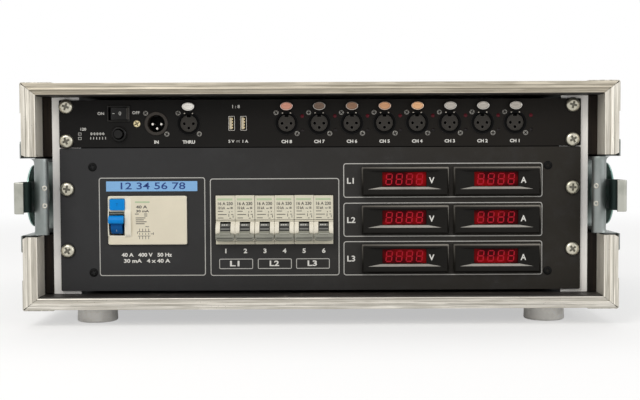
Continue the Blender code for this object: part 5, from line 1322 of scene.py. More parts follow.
def distributor_front():
    """Panel with its cut-outs, a dark strip behind the joint above it as painted shade, and its screws."""
    holes = rack_slots(DISTRIBUTOR_SLOT_RISE)
    nose_middle, nose = (NOSE_TOP + NOSE_LOW) / 2, NOSE_TOP - NOSE_LOW + 0.8
    for left, width in ((RESIDUAL_LEFT, RESIDUAL_WIDTH), (BANK_LEFT, MODULE * MODULE_COUNT)):
        holes.append(rounded(width + 0.8, nose, 0.5, (left + width / 2, nose_middle), 2))
    for x in METER_COLUMNS:
        for z in METER_ROWS:
            holes.append(rounded(METER[0] - 2.4, METER[1] - 2.4, 0.5, (x, z), 2))
    panel, joint_shade, screws = shapes(3)
    outline = rounded(PANEL_WIDTH, DISTRIBUTOR_HEIGHT, 1.5)
    plate(panel, DISTRIBUTOR, outline, -PANEL_THICKNESS, 0, holes, bevel=PANEL_BEVEL)
    piece("distributor_front", panel, "distributor", replaces=["distributor_panel"])
    # Dark strip behind the joint between the panels: painted shade in the gap.
    joint = DISTRIBUTOR.moved(0, DISTRIBUTOR_HEIGHT / 2, -PANEL_THICKNESS)
    block(joint_shade, joint, (-JOINT_SHADE_HALF, JOINT_SHADE_HALF), (-1.6, 2.6), (-1.7, -0.1), 0.3)
    piece("panel_joint_painted_shade", joint_shade, "dark_hole")
    for x in (-PANEL_SCREW_X, PANEL_SCREW_X):
        for z in (-PANEL_SCREW_Z, PANEL_SCREW_Z):
            cross_head(screws, DISTRIBUTOR, (x, z), 4.0, 1.3, (0.6, 2.2), 1.2, 0.3 + x * z)
    piece("panel_screws", screws, "black_screw")
    distributor_print()


def distributor_print():
    """Printed frames, numbers and letters, and the blue label."""
    lines, ink, label, number = shapes(4)
    line_frame(lines, DISTRIBUTOR, 98.6, 91.4, (-156.1, -6.6))
    line_frame(lines, DISTRIBUTOR, 119.9, 90.5, (-42.45, -7.35))
    for name, (high, low) in METER_FRAMES.items():
        middle = (high + low) / 2
        line_frame(lines, DISTRIBUTOR, 184.7, high - low, (113.65, middle))
        lettering(ink, DISTRIBUTOR, name, 7.4, (28.4, middle - 0.6), stretch=1.12, weight=0.16)
    for name, (left, right) in PHASE_FRAMES.items():
        middle = (left + right) / 2 - 1.0
        line_frame(lines, DISTRIBUTOR, right - left, 9.6, (middle, -41.5), 0.7, 1.3)
        lettering(ink, DISTRIBUTOR, name, 6.9, (middle - 0.6, -41.5), weight=0.2, width=8.8)
    for count in range(MODULE_COUNT):
        x = BANK_LEFT + MODULE * (count + 0.5)
        lettering(ink, DISTRIBUTOR, str(count + 1), 5.6, (x, -29.7), stretch=1.15, weight=0.22)
    for words, width, height in RATING_WORDS:
        lettering(ink, DISTRIBUTOR, words, 4.7, (-161.6, height), weight=0.16, width=width)
    piece("distributor_lines", lines, "line")
    piece("distributor_print", ink, "ink")
    plate(label, DISTRIBUTOR, rounded(84.5, 9.3, 0.3, LABEL_SPOT, 2), 0, LABEL_PROUD, bevel=0.05, steps=1)
    face = DISTRIBUTOR.moved(t=LABEL_PROUD)
    lettering(number, face, "12 34 56 78", 8.9, (-156.2, 31.0), PRINT, weight=0.1, width=60.0)
    piece("number_label", label, "label")
    piece("number_label_print", number, "label_ink")


def meters():
    """Three rows of two meters, a pair for each phase."""
    for x, unit in METER_COLUMNS.items():
        for z, phase in METER_ROWS.items():
            meter(f"meter_{phase}_{unit}", DISTRIBUTOR.moved(p=x, q=z), unit)


def meter(name, place, unit):
    """Panel meter: bezel with painted highlight on its top, sloped recess with a pale sheet of painted
    highlight on its lower slope, filter with dark digits, and its unit.
    """
    bezel, slope_highlight, pane, digits, letter = shapes(5)
    deep = METER_PROUD - METER_SINK
    middle = (METER_SHIFT, METER_WINDOW[2])

    def level(size, radius, t, grow=0.0):
        centre = (METER_SHIFT, size[2]) if len(size) > 2 else (0, 0)
        return leveled(rounded(size[0] + grow, size[1] + grow, radius, centre, 3), t)

    levels = [level(METER, 0.6, -METER_DEPTH, -3), level(METER, 0.6, 0, -3)]
    levels += [level(METER, 0.8, 0), level(METER, 0.8, 3.2), level(METER, 0.8, 4.3, -1.0)]
    levels += [level(METER, 0.7, METER_PROUD, -3.6), level(METER_RECESS, 0.6, METER_PROUD)]
    levels += [level(METER_FLOOR, 0.5, deep)]
    levels += [level(METER_WINDOW, 0.4, t) for t in (deep, METER_GLASS, -METER_DEPTH)]
    rings = np.stack(levels)
    # Painted highlight along the top of the bezel, stronger to the right.
    painted_light_and_wear = np.array([0, 0, 0, 0.9, 0.9, 0.22, 0.16, 0, 0, 0, 0])[:, None]
    marks = painted_light_and_wear * (rings[..., 1] > METER[1] / 2 - 2) * (0.80 + 0.20 * rings[..., 0] / METER[0] * 2)
    skin(bezel, place.at(rings), marks, wrap=True)
    # A thin pale sheet on the lower slope of the recess paints its highlight.
    low, rise = METER_RECESS[2] - METER_RECESS[1] / 2, METER_FLOOR[2] - METER_FLOOR[1] / 2
    slope = [(METER_SHIFT + side * METER_RECESS[0] / 2, low + 0.05, METER_PROUD - 0.05) for side in (-1, 1)]
    slope += [(METER_SHIFT + side * METER_HIGHLIGHT_TOP / 2, rise - 0.05, deep + 0.05) for side in (1, -1)]
    skin(slope_highlight, place.at(np.stack([np.array(slope) + (0, 0.06, 0.06), slope])))
    glass = rounded(METER_WINDOW[0] - 0.2, METER_WINDOW[1] - 0.2, 0.3, middle, 2)
    plate(pane, place, glass, 0.2, METER_GLASS, bevel=0.1, steps=1)
    for number in range(4):
        centre = (METER_SHIFT + (number - 1.5) * 9.4, METER_WINDOW[2])
        seven_segments(digits, place.moved(t=METER_GLASS), centre, 5.2, 9.6, 1.05)
    spot = (METER_SHIFT + 25.2, METER_WINDOW[2] - 1.4)
    lettering(letter, place.moved(t=deep), unit, 7.8, spot, weight=0.18, width=5.2)
    piece(name + "_bezel", bezel, "meter")
    piece(name + "_sill", slope_highlight, "slope_highlight_grey")
    piece(name + "_pane", pane, "filter")
    piece(name + "_digits", digits, "segment")
    piece(name + "_unit", letter, "ink")


def seven_segments(shape, place, centre, width, height, stroke):
    """The bars of a display digit: hexagons with pointed ends, leaning by a tenth."""
    half, rise = width / 2, height / 2
    bars = [((-half, rise), (half, rise)), ((-half, 0), (half, 0)), ((-half, -rise), (half, -rise))]
    bars += [((x, y), (x, y + rise)) for x in (-half, half) for y in (-rise, 0)]
    for start, stop in bars:
        start, stop = np.array(start), np.array(stop)
        along = (stop - start) / np.linalg.norm(stop - start)
        across = np.array([-along[1], along[0]]) * stroke / 2
        first, last = start + along * 0.25, stop - along * 0.25
        inner = along * stroke / 2
        outline = np.array([first, first + inner - across, last - inner - across,
                            last, last - inner + across, first + inner + across])
        outline[:, 0] += outline[:, 1] * 0.1
        plate(shape, place, outline + centre, 0, 0.06, bevel=0.01, steps=1)


# Breakers

def cheek(shape, place, left, width, pivot, top, low):
    """Rounded shoulder beside a lever: an arc round the pivot between two flat ends."""
    base = NOSE_PROUD - PIVOT_DEPTH
    reach = math.acos(PIVOT_DEPTH / SHOULDER_RADIUS)
    bow = arc((pivot, base), SHOULDER_RADIUS, math.pi / 2 + reach, math.pi / 2 - reach, 18)
    flat = NOSE_PROUD - 0.15
    outline = np.concatenate([[(low, -CHEEK_DEPTH), (low, flat)], bow, [(top, flat), (top, -CHEEK_DEPTH)]])
    plate(shape, place.swung(1, 2, 0), outline, left, left + width, bevel=0.45, steps=3, both=True)


def block(shape, place, x, z, t, bevel, steps=2):
    """Box between two values of p, of q and of t, with a rounded front."""
    outline = rounded(x[1] - x[0], z[1] - z[0], bevel + 0.05, ((x[0] + x[1]) / 2, (z[0] + z[1]) / 2), 3)
    plate(shape, place, outline, t[0], t[1], bevel=bevel, steps=steps)


def breaker_bank():
    """Six breaker modules with a step over each lever, shoulders beside it in a lighter cream as painted
    highlight, and their print.
    """
    bodies, shoulders, marks, green, steps = shapes(5)
    face = DISTRIBUTOR.moved(t=NOSE_PROUD)
    for number in range(MODULE_COUNT):
        left = BANK_LEFT + MODULE * number + (0.22 if number % 2 == 0 else 0.10)
        right = BANK_LEFT + MODULE * (number + 1) - (0.10 if number % 2 == 0 else 0.22)
        middle = (left + right) / 2
        drop = 0.18 * math.sin(number * 2.1)
        block(bodies, DISTRIBUTOR, (left, right), (-0.4, NOSE_TOP + drop), (-NOSE_DEPTH, NOSE_PROUD), 0.35)
        block(bodies, DISTRIBUTOR, (left, right), (NOSE_LOW, -20.2), (-NOSE_DEPTH, NOSE_PROUD), 0.35)
        block(steps, DISTRIBUTOR, (left, right), (-2.2, -0.9), (-NOSE_DEPTH, NOSE_PROUD - 0.5), 0.2)
        wide = (MODULE - 9.6) / 2 - 0.2
        for start in (left, right - wide):
            cheek(shoulders, DISTRIBUTOR, start, wide, BANK_PIVOT, -2.4, -20.0)
        strokes(green, face, [(middle - 0.4, 18.6, 14.2, 1.9)])
        lettering(marks, face, "16 A 230", 3.9, (middle - 0.3, 14.5), PRINT, weight=0.12, width=13.8)
        lettering(marks, face, "10 kA", 3.6, (middle - 3.8, 10.5), PRINT, weight=0.10, width=6.6)
        lettering(marks, face, "~ =", 4.6, (middle + 4.2, 10.4), PRINT, weight=0.16, width=5.4)
        symbol(marks, face, (middle + 4.8, 3.9))
        strokes(marks, face, [(middle - 7.0 + long / 2, height, long, 0.7)
                              for height, long in ((7.6, 5.0), (4.6, 8.2), (1.4, 5.2))])
    piece("breaker_modules", bodies, "module_cream",
          replaces=["circuit_breaker_bank"])
    # The shoulders' lighter cream is painted highlight.
    piece("breaker_shoulders", shoulders, "cream_painted_highlight")
    piece("breaker_steps", steps, "module_cream")
    piece("breaker_print", marks, "grey_ink")
    piece("breaker_green_print", green, "green_ink")
    backs = Shape()
    for start, wide in ((BANK_LEFT, MODULE * MODULE_COUNT), (RESIDUAL_LEFT, RESIDUAL_WIDTH)):
        block(backs, DISTRIBUTOR, (start + 0.4, start + wide - 0.4), (-42, 42), (-57, -15.2), 0.5)
    piece("breaker_backs", backs, "cream")


def symbol(shape, face, centre):
    """Generic switch symbol: two stems, an open contact and a small box."""
    bars = [(-1.2, 3.0, 0.7, 1.2), (1.3, 3.4, 0.7, 1.0), (-1.6, 0, 0.6, 2.8), (1.5, 0.8, 2.2, 0.6)]
    bars += [(2.3, -1.2, 0.6, 2.4), (-0.4, -2.8, 1.8, 0.6)]
    strokes(shape, face, [(centre[0] + x, centre[1] + z, wide, tall) for x, z, wide, tall in bars])


def bowed_grip(shape, place, half_width, low, high, half, bow, pinch):
    """Lever grip: a rounded section along p whose height shrinks by pinch s^4 and that bows by s^2."""
    s = np.linspace(-1, 1, 21)
    section = softened([(-half, low), (half, low), (half * 0.8, high), (-half * 0.8, high)], 1.1, 3)
    size = 1 - pinch * s ** 4
    end = np.sqrt(1 - 0.35 * s ** 12)
    rise = section[None, :, 0] * (size * end)[:, None] + bow * (s ** 2)[:, None]
    middle = (low + high) / 2
    out = middle + (section[None, :, 1] - middle) * end[:, None]
    along = np.broadcast_to((s * half_width)[:, None], rise.shape)
    skin(shape, place.at(np.stack([along, rise, out], -1)))


def breaker_levers():
    """Six levers, each a drum with its bands and marks, and a bowed grip on a neck with a dark strip as
    painted shade of a groove.
    """
    for number in range(1, MODULE_COUNT + 1):
        x = BANK_LEFT + MODULE * (number - 0.5)
        pivot = DISTRIBUTOR.moved(x, BANK_PIVOT, NOSE_PROUD - PIVOT_DEPTH)
        tipped = pivot.tipped(LEVER_TILT)
        body = f"circuit_breaker_lever_{number}"
        hub, grip, band, marks, line = shapes(5)
        drum(hub, pivot.swung(1, 2, 0), (0, 0), HUB_RADIUS, -4.55, 4.55, 48, 0.25)
        piece(f"breaker_drum_{number}", hub, "drum", body, [body])
        bowed_grip(grip, tipped, 8.7, 8.9, 13.5, 3.7, 0.7, 0.22)
        neck = softened([(-4.6, 5.0), (4.6, 5.0), (5.4, 2.7), (7.3, 1.9), (7.3, 1.0), (-7.3, 1.0),
                         (-7.3, 1.9), (-5.4, 2.7)][::-1], 0.4, 2)
        plate(grip, tipped, neck, 7.6, 12.2, bevel=0.6, steps=3)
        piece(f"breaker_grip_{number}", grip, "lever", body)
        # Dark strip across the grip: painted shade of a groove.
        plate(line, tipped, rounded(14.4, 0.55, 0.2, (0, 0.9), 2), 13.2, 13.55, bevel=0.05, steps=1)
        piece(f"breaker_grip_groove_shade_{number}", line, "drum", body)
        for angle, tall in ((UPPER_BAND, 3.2), (LOWER_BAND, 1.5)):
            outline = rounded(8.6, tall, 0.2, steps=2)
            plate(band, pivot.tipped(angle).moved(t=HUB_RADIUS), outline, -0.4, 0.05, bevel=0.02, steps=1)
        piece(f"breaker_drum_band_{number}", band, "drum_band", body)
        band_face = pivot.tipped(UPPER_BAND).moved(t=HUB_RADIUS + 0.05)
        for shift in (-2.6, -0.8, 1.4):
            plate(marks, band_face, rounded(1.3, 1.5, 0.2, (shift, 0), 2), 0, PRINT, bevel=0.01, steps=1)
        piece(f"breaker_drum_marks_{number}", marks, "mark_ink", body)


def residual_breaker():
    """Cover with the lever's slot and the button's hole, the cheeks of the slot in a lighter cream as painted
    highlight, its ledge in grey as painted shade, and its floor.
    """
    x0, x1 = RESIDUAL_LEFT, RESIDUAL_LEFT + RESIDUAL_WIDTH
    cover, cheeks, ledge, floor = shapes(4)
    lever_hole = rounded(14.4, 24.0, 0.8, (RESIDUAL_LEVER_X, -2.5), 3)
    button_hole = rounded(BUTTON["width"] + 0.6, BUTTON["height"] + 0.6, 0.8, (BUTTON["x"], BUTTON["z"]), 3)
    outline = rounded(x1 - x0, NOSE_TOP - NOSE_LOW, 1.4, ((x0 + x1) / 2, (NOSE_TOP + NOSE_LOW) / 2), 5)
    plate(cover, DISTRIBUTOR, outline, -NOSE_DEPTH, NOSE_PROUD, [lever_hole, button_hole], bevel=0.9, steps=4)
    piece("residual_breaker_cover", cover, "cream",
          replaces=["residual_breaker_body"])
    # The cheeks' lighter cream is painted highlight.
    for left, width, bulge in RESIDUAL_CHEEKS:
        residual_cheek(cheeks, left, width, bulge)
    piece("residual_breaker_cheeks", cheeks, "cream_painted_highlight")
    # The ledge's grey is painted shade.
    bar = softened([(9.3, -3.0), (9.3, -0.2), (5.2, 1.4), (4.0, -3.0)], 0.4, 2)
    plate(ledge, DISTRIBUTOR.swung(1, 2, 0), bar, -195.4, -181.6, bevel=0.2, both=True)
    piece("residual_breaker_ledge", ledge, "ledge")
    block(floor, DISTRIBUTOR, (-195.6, -181.4), (-14.4, 9.4), (-13.8, -10.8), 0.2)
    piece("residual_breaker_floor", floor, "cream")
    residual_lever()
    residual_key()
    residual_print()


def residual_lever():
    """Blue lever: hub with a small mark, and a grip whose upper face is lighter as painted highlight."""
    body = "residual_breaker_lever"
    pivot = DISTRIBUTOR.moved(RESIDUAL_LEVER_X, RESIDUAL_PIVOT, NOSE_PROUD - PIVOT_DEPTH)
    tipped = pivot.tipped(-LEVER_TILT)
    hub, grip, top_highlight, marks = shapes(4)
    drum(hub, pivot.swung(1, 2, 0), (0, 0), HUB_RADIUS, -5.2, 5.2, 52, 0.3)
    piece("residual_lever_hub", hub, "deep_blue", body, [body])
    profile = [(-3.6, 9.4), (3.4, 9.4), (3.6, 12.6), (1.6, 13.5), (-1.8, 13.2), (-3.6, 11.4)]
    plate(grip, tipped.swung(1, 2, 0), softened(profile, 0.7, 3), -7.0, 7.0, bevel=0.7, steps=3, both=True)
    plate(grip, tipped, rounded(9.6, 4.4, 0.6), 6.0, 10.0, bevel=0.1, steps=1)
    piece("residual_lever_grip", grip, "blue", body)
    # A thin lighter blue plate on the grip's upper face paints its highlight.
    roof = tipped.moved(q=3.4).swung(2, 0, 1)
    plate(top_highlight, roof, rounded(2.4, 12.2, 0.5, (11.2, 0), 3), -0.2, 0.16, bevel=0.1, steps=1)
    piece("residual_lever_top_highlight", top_highlight, "blue_painted_highlight", body)
    lettering(marks, pivot.tipped(0.62).moved(t=HUB_RADIUS - 0.02), "1", 3.0, (0, 0), 0.08, 1.0, 0.05)
    piece("residual_lever_mark", marks, "mark_ink", body)


def residual_key():
    """Test button with its letter."""
    body = "residual_breaker_test_button"
    button, letter = shapes(2)
    place = DISTRIBUTOR.moved(BUTTON["x"], BUTTON["z"], NOSE_PROUD)
    outline = rounded(BUTTON["width"], BUTTON["height"], 0.9, steps=4)
    plate(button, place, outline, -8, BUTTON["proud"], bevel=0.7, steps=4)
    piece("residual_test_key", button, "blue", body, [body])
    lettering(letter, place.moved(t=BUTTON["proud"] - 0.02), "T", 3.4, (0, 0), 0.06)
    piece("residual_test_key_mark", letter, "deep_blue", body)


def residual_print():
    """Print of the residual current breaker: words, short lines and a wiring symbol."""
    green, text = shapes(2)
    face = DISTRIBUTOR.moved(t=NOSE_PROUD)
    strokes(green, face, [(-164.8, 16.4, 13.6, 1.5)])
    piece("residual_green_print", green, "green_ink")
    lettering(text, face, "40 A", 3.6, (-165.6, 11.8), PRINT, weight=0.12, width=10.4)
    lettering(text, face, "30 mA", 3.0, (-164.8, 8.0), PRINT, weight=0.10, width=12.0)
    lines = [(-4, 5.4, 3.6), (4.2, 5.4, 3.0), (4.2, 3.6, 2.8), (-0.6, 1.8, 9.2), (-1.4, 0, 7.6)]
    lines += [(0, -1.8, 10.0), (-1.0, -3.6, 8.2)]
    strokes(text, face, [(-166.0 + shift, z, length, 0.75) for shift, z, length in lines])
    lettering(text, face, "~", 4.4, (-160.6, -6.2), PRINT, 1.2, 0.10)
    schematic(text, face, (-163.4, -13.0))
    piece("residual_print", text, "grey_ink")


def residual_cheek(shape, left, width, bulge):
    """Long shoulder beside the residual lever: rises along the nose, bows over the pivot, ends in a toe."""
    z = np.linspace(NOSE_TOP - 1.6, -16.4, 40)
    share = (z - z[-1]) / (z[0] - z[-1])
    bow = bulge * np.clip(1 - ((z + 4.0) / 13.5) ** 2, 0, 1) ** 0.75
    toe = -1.6 * np.clip(1 - share * 14, 0, 1) ** 2
    top = NOSE_PROUD + 0.35 * np.clip((1 - share) * 6, 0, 1) + bow + toe
    outline = np.concatenate([np.stack([z, top], -1), [(z[-1], -2.0), (z[0], -2.0)]])
    place, bevel = DISTRIBUTOR.swung(1, 2, 0), min(0.9, width * 0.4)
    plate(shape, place, outline, left, left + width, bevel=bevel, steps=4, both=True)


def schematic(shape, face, centre):
    """Generic wiring symbol: four broken lines between two bars."""
    bars = [(x, z, 0.5, tall) for x in (-4.2, -1.4, 1.4, 4.2)
            for z, tall in ((3.6, 2.6), (0, 1.8), (-3.6, 2.6))]
    bars += [(0, 2.0, 11.6, 0.5), (0, -2.0, 11.6, 0.5), (7.4, 0, 2.4, 0.5), (-6.2, 1.0, 0.5, 2.2)]
    bars += [(8.6, 0.2, 0.5, 2.4)]
    strokes(shape, face, [(centre[0] + x, centre[1] + z, wide, tall) for x, z, wide, tall in bars])


# Splitter

def splitter_front():
    """Panel with its holes for screws, connectors, tabs, ports, switch and button."""
    holes = rack_slots(SPLITTER_SLOT_RISE)
    for x in CONNECTOR_XS:
        holes.append(circle(CONNECTOR_RADIUS - 0.4, (x, 0), 36))
    for x in TABBED_XS:
        holes.append(rounded(6.6, 3.2, 0.6, (x, TAB_RISE), 2))
    for x in PORT_XS:
        holes.append(rounded(5.2, 12.8, 0.4, (x, 0), 2))
    holes.append(rounded(19.4, 13.4, 0.6, (ROCKER_X, ROCKER_Z), 3))
    holes.append(circle(6.6, (CAP_X, CAP_Z), 32))
    shape = Shape()
    outline = rounded(PANEL_WIDTH, SPLITTER_HEIGHT, 1.0)
    plate(shape, SPLITTER, outline, -PANEL_THICKNESS, 0, holes, bevel=PANEL_BEVEL)
    piece("splitter_front", shape, "splitter", replaces=["splitter_panel"])


def connector_shells():
    """Ten round connectors: nine with an insert and a tab, and the inlet with its pins."""
    shells, bores, inserts, contacts, inlet, ears = shapes(6)
    top, radius = CONNECTOR_PROUD, CONNECTOR_RADIUS
    for x in TABBED_XS:
        ring = [(radius, -SHELL_DEPTH), (radius, top - 0.3), (radius - 0.25, top), (radius - 0.7, top)]
        ring += [(8.5, top), (8.1, top - 0.4), (8.1, -SHELL_DEPTH)]
        # The outer top edge of the shell is marked for painted highlight.
        turned(shells, SPLITTER, (x, 0), ring, 56, [0, 0.5, 0.5, 0, 0, 0, 0])
        insert_face(inserts, SPLITTER, x)
        drum(bores, SPLITTER, (x, 0), 8.05, -3.5, -8, 32)
        for side in (-1, 1):
            plate(ears, SPLITTER, rounded(1.3, 1.0, 0.4, (x + side * 3.7, 9.3), 3), 0.2, 1.2, bevel=0.15)
    x = SIGNAL_INLET_X
    tube(inlet, SPLITTER, (x, 0), radius, 8.0, -SHELL_DEPTH, top, 0.45, 3, 56)
    drum(bores, SPLITTER, (x, 0), 7.95, -12, -13, 32)
    plate(bores, SPLITTER, rounded(3.0, 1.6, 0.4, (x, 7.3), 2), -12, -0.4, bevel=0.2)
    for across, rise in ((-3.6, -0.5), (4.4, -0.5), (0.5, -4.5)):
        drum(contacts, SPLITTER, (x + across, rise), 1.25, -2.0, -12.2, 16, 0.7, 3)
    piece("connector_shells", shells, "ring")
    piece("signal_inlet_shell", inlet, "inlet_ring")
    piece("connector_bores", bores, "dark_hole")
    piece("connector_inserts", inserts, "insert")
    piece("connector_ears", ears, "ear")
    piece("connector_contacts", contacts, "nickel")


def insert_face(shape, place, x):
    """Round insert with three contact holes and a key notch at its top."""
    holes = [circle(1.4, (x + across, rise), 16) for across, rise in ((-4.2, -0.2), (4.2, -0.2), (0, -4.2))]
    rim = arc((x, 0), 7.8, math.radians(104), math.radians(436), 44)
    outline = np.concatenate([rim, [(x + 1.9, 5.6), (x - 1.9, 5.6)]])
    plate(shape, place, outline, -3.6, -0.3, holes, bevel=0.35, steps=2)


def tabs():
    """Release tabs: an oval with a raised rim and five ribs in its dish, on a short stem."""
    # Rings as (inset, height, mark): the mark paints highlight on the raised rim and shade on its inner
    # slope.
    steps = ((0, 2.8, 0), (0, 4.4, 0), (0.25, 4.85, 0.8), (0.6, 5.0, 0.8), (0.85, 5.0, 0), (1.1, 4.7, -0.4),
             (1.6, 4.65, 0), (2.4, 4.62, 0))
    oval = circle(1.0, sides=48) * (5.8, 3.95)
    rings = np.stack([leveled(shrunk(oval, inset), t) for inset, t, mark in steps])
    bodies = ["thru_socket_tab", *(f"output_{n + 1}_tab" for n in range(len(OUTPUT_XS)))]
    for body, x, tone in zip(bodies, TABBED_XS, TAB_TONES):
        shape = Shape()
        place = SPLITTER.moved(x, TAB_RISE)
        skin(shape, place.at(rings), [mark for inset, t, mark in steps])
        plate(shape, place, rounded(6.0, 2.6, 0.4, steps=2), -5.0, 2.9, bevel=0.1, steps=1)
        for bar in (-2.7, -1.35, 0, 1.35, 2.7):
            plate(shape, place, rounded(0.6, 2.4, 0.25, (bar, 0), 2), 4.5, 4.98, bevel=0.1, steps=1)
        piece(body + "_thumb_plate", shape, tone, body, [body])


def splitter_details():
    """Connector screws, lamps, the earth screw and all the splitter's print."""
    screws, lamps, dark, earth, ink, lines = shapes(6)
    for n, x in enumerate(CONNECTOR_XS):
        for side in (-1, 1):
            spot = (x + side * CONNECTOR_SCREW, -side * CONNECTOR_SCREW)
            cross_head(screws, SPLITTER, spot, 2.5, 0.8, (0.42, 1.6), 0.9, 0.7 * n + side)
    bead = [(0, 1.0), (0.9, 0.8), (1.7, 0.1), (1.7, -2), (0, -2)]
    for x in OUTPUT_XS:
        turned(lamps, SPLITTER, (x + 14.5, 6.4), bead, 20)
        turned(dark, SPLITTER, (x + 14.8, -6.9), bead, 20)
    cross_head(earth, SPLITTER, (-169.4, 0), 3.5, 1.6, (0.6, 2.3), 1.1, 0.5)
    for word, size, x, z, weight in SPLITTER_WORDS:
        lettering(ink, SPLITTER, word, size, (x, z), stretch=1.1, weight=weight)
    for height in BIT_ROWS:
        line_frame(lines, SPLITTER, 3.0, 2.6, (-222.3, height), 0.4, 0.3)
    dashes = [(x, WORD_ROW, 0.8, 0.4) for x in (-77.2, -75.9, -74.6)]
    strokes(lines, SPLITTER, [(-75.9, WORD_ROW + 1.0, 3.4, 0.4)] + dashes)
    piece("connector_screws", screws, "small_screw")
    piece("red_lamps", lamps, "red_lamp")
    piece("dark_lamps", dark, "dark_lamp")
    piece("earth_screw", earth, "brass")
    piece("splitter_print", ink, "ink")
    piece("splitter_lines", lines, "line")


def charging_ports():
    """Two upright ports: a shell round a tongue with four contacts."""
    shells, tongues, contacts, floors = shapes(4)
    for x in PORT_XS:
        place = SPLITTER.moved(x)
        outer, inner = rounded(5.9, 13.5, 0.7, steps=3), rounded(5.0, 12.4, 0.4, steps=3)
        levels = [(outer, -PORT_DEPTH), (outer, 0.1), (shrunk(outer, 0.2), 0.3)]
        levels += [(shrunk(inner, -0.2), 0.3), (inner, 0.1), (inner, -PORT_DEPTH)]
        lofted(shells, place, levels)
        block(tongues, place, (-2.1, 0.2), (-5.4, 5.4), (-8.5, -0.9), 0.25)
        for rise in (-3.9, -1.3, 1.3, 3.9):
            block(contacts, place, (0.2, 1.1), (rise - 0.75, rise + 0.75), (-8.4, -1.1), 0.12)
        block(floors, place, (-2.5, 2.5), (-6.2, 6.2), (-PORT_DEPTH, 0.5 - PORT_DEPTH), 0.05, 1)
    piece("charging_port_shells", shells, "nickel")
    piece("charging_port_tongues", tongues, "tongue")
    piece("charging_port_contacts", contacts, "gold")
    piece("charging_port_floors", floors, "dark_hole")


def switch_and_button():
    """Frame of the power switch with its rocker, and the bush of the termination button with its cap."""
    bezel, raised, rocker, marks, cap = shapes(5)
    place = SPLITTER.moved(ROCKER_X, ROCKER_Z)
    outer, inner = rounded(21, 15, 1.0, steps=3), rounded(18.4, 12.4, 0.5, steps=3)
    levels = [(outer, 0), (outer, 1.0), (shrunk(outer, 0.5), 1.5), (shrunk(inner, -0.3), 1.5), (inner, 1.2)]
    levels += [(inner, -11), (shrunk(inner, -0.5), -11), (shrunk(inner, -0.5), 0)]
    # The top edge of the frame is marked for painted highlight.
    lofted(bezel, place, levels, [0, 0.4, 1, 0.5, 0, 0, 0, 0])
    block(bezel, place, (-9.3, 9.3), (-6.3, 6.3), (-12.5, -11.2), 0.1, 1)
    block(raised, place, (7.4, 10.0), (-5.4, 5.4), (0.9, 1.9), 0.5)
    piece("switch_raised_edge", raised, "insert")
    bush = [(7.0, 0), (7.0, 2.2), (6.0, 3.0), (4.9, 3.0), (4.35, 2.2), (4.35, -18), (7.0, -18)]
    turned(bezel, SPLITTER, (CAP_X, CAP_Z), softened(bush, 0.4, 3), 48)
    piece("switch_bezels", bezel, "black")

    tip = Place(SPLITTER.at((ROCKER_X, ROCKER_Z, -ROCKER_AXIS)), *rocker_axes())
    end = ROCKER_AXIS + 7.8 * math.tan(ROCKER_TILT)
    low, high = math.radians(270 - ROCKER_REACH), math.radians(270 + ROCKER_REACH)
    top = arc((0, ROCKER_AXIS + ROCKER_BOW), ROCKER_BOW, low, high, 12)
    outline = np.concatenate([top, [(7.8, end / 3), (3.9, -end / 2), (-3.9, -end / 2), (-7.8, end / 3)]])
    plate(rocker, tip.swung(0, 2, 1), outline, -5.9, 5.9, bevel=0.5, steps=3, both=True)
    piece("switch_rocker", rocker, "black", "power_rocker", ["power_rocker"])
    strokes(marks, tip.moved(p=-6.0, t=5.1), [(0, 0, 3.2, 0.6)], 0.12)
    lettering(marks, tip.moved(p=0.4, t=ROCKER_AXIS), "0", 5.0, (0, 0), 0.12, 0.9, 0.06)
    piece("switch_rocker_marks", marks, "mark_ink", "power_rocker")

    profile = softened([(0, 6.2), (2.2, 6.4), (4.0, 6.5), (4.0, -10.5), (0, -10.5)], 0.5, 3, closed=False)
    turned(cap, SPLITTER, (CAP_X, CAP_Z), profile, 36)
    piece("termination_cap", cap, "black", "termination_button", ["termination_button"])


def rocker_axes():
    """Directions of the tipped rocker: its right end is pressed in."""
    cosine, sine = math.cos(ROCKER_TILT), math.sin(ROCKER_TILT)
    return (cosine, sine, 0), Z, (sine, -cosine, 0)


# Rear

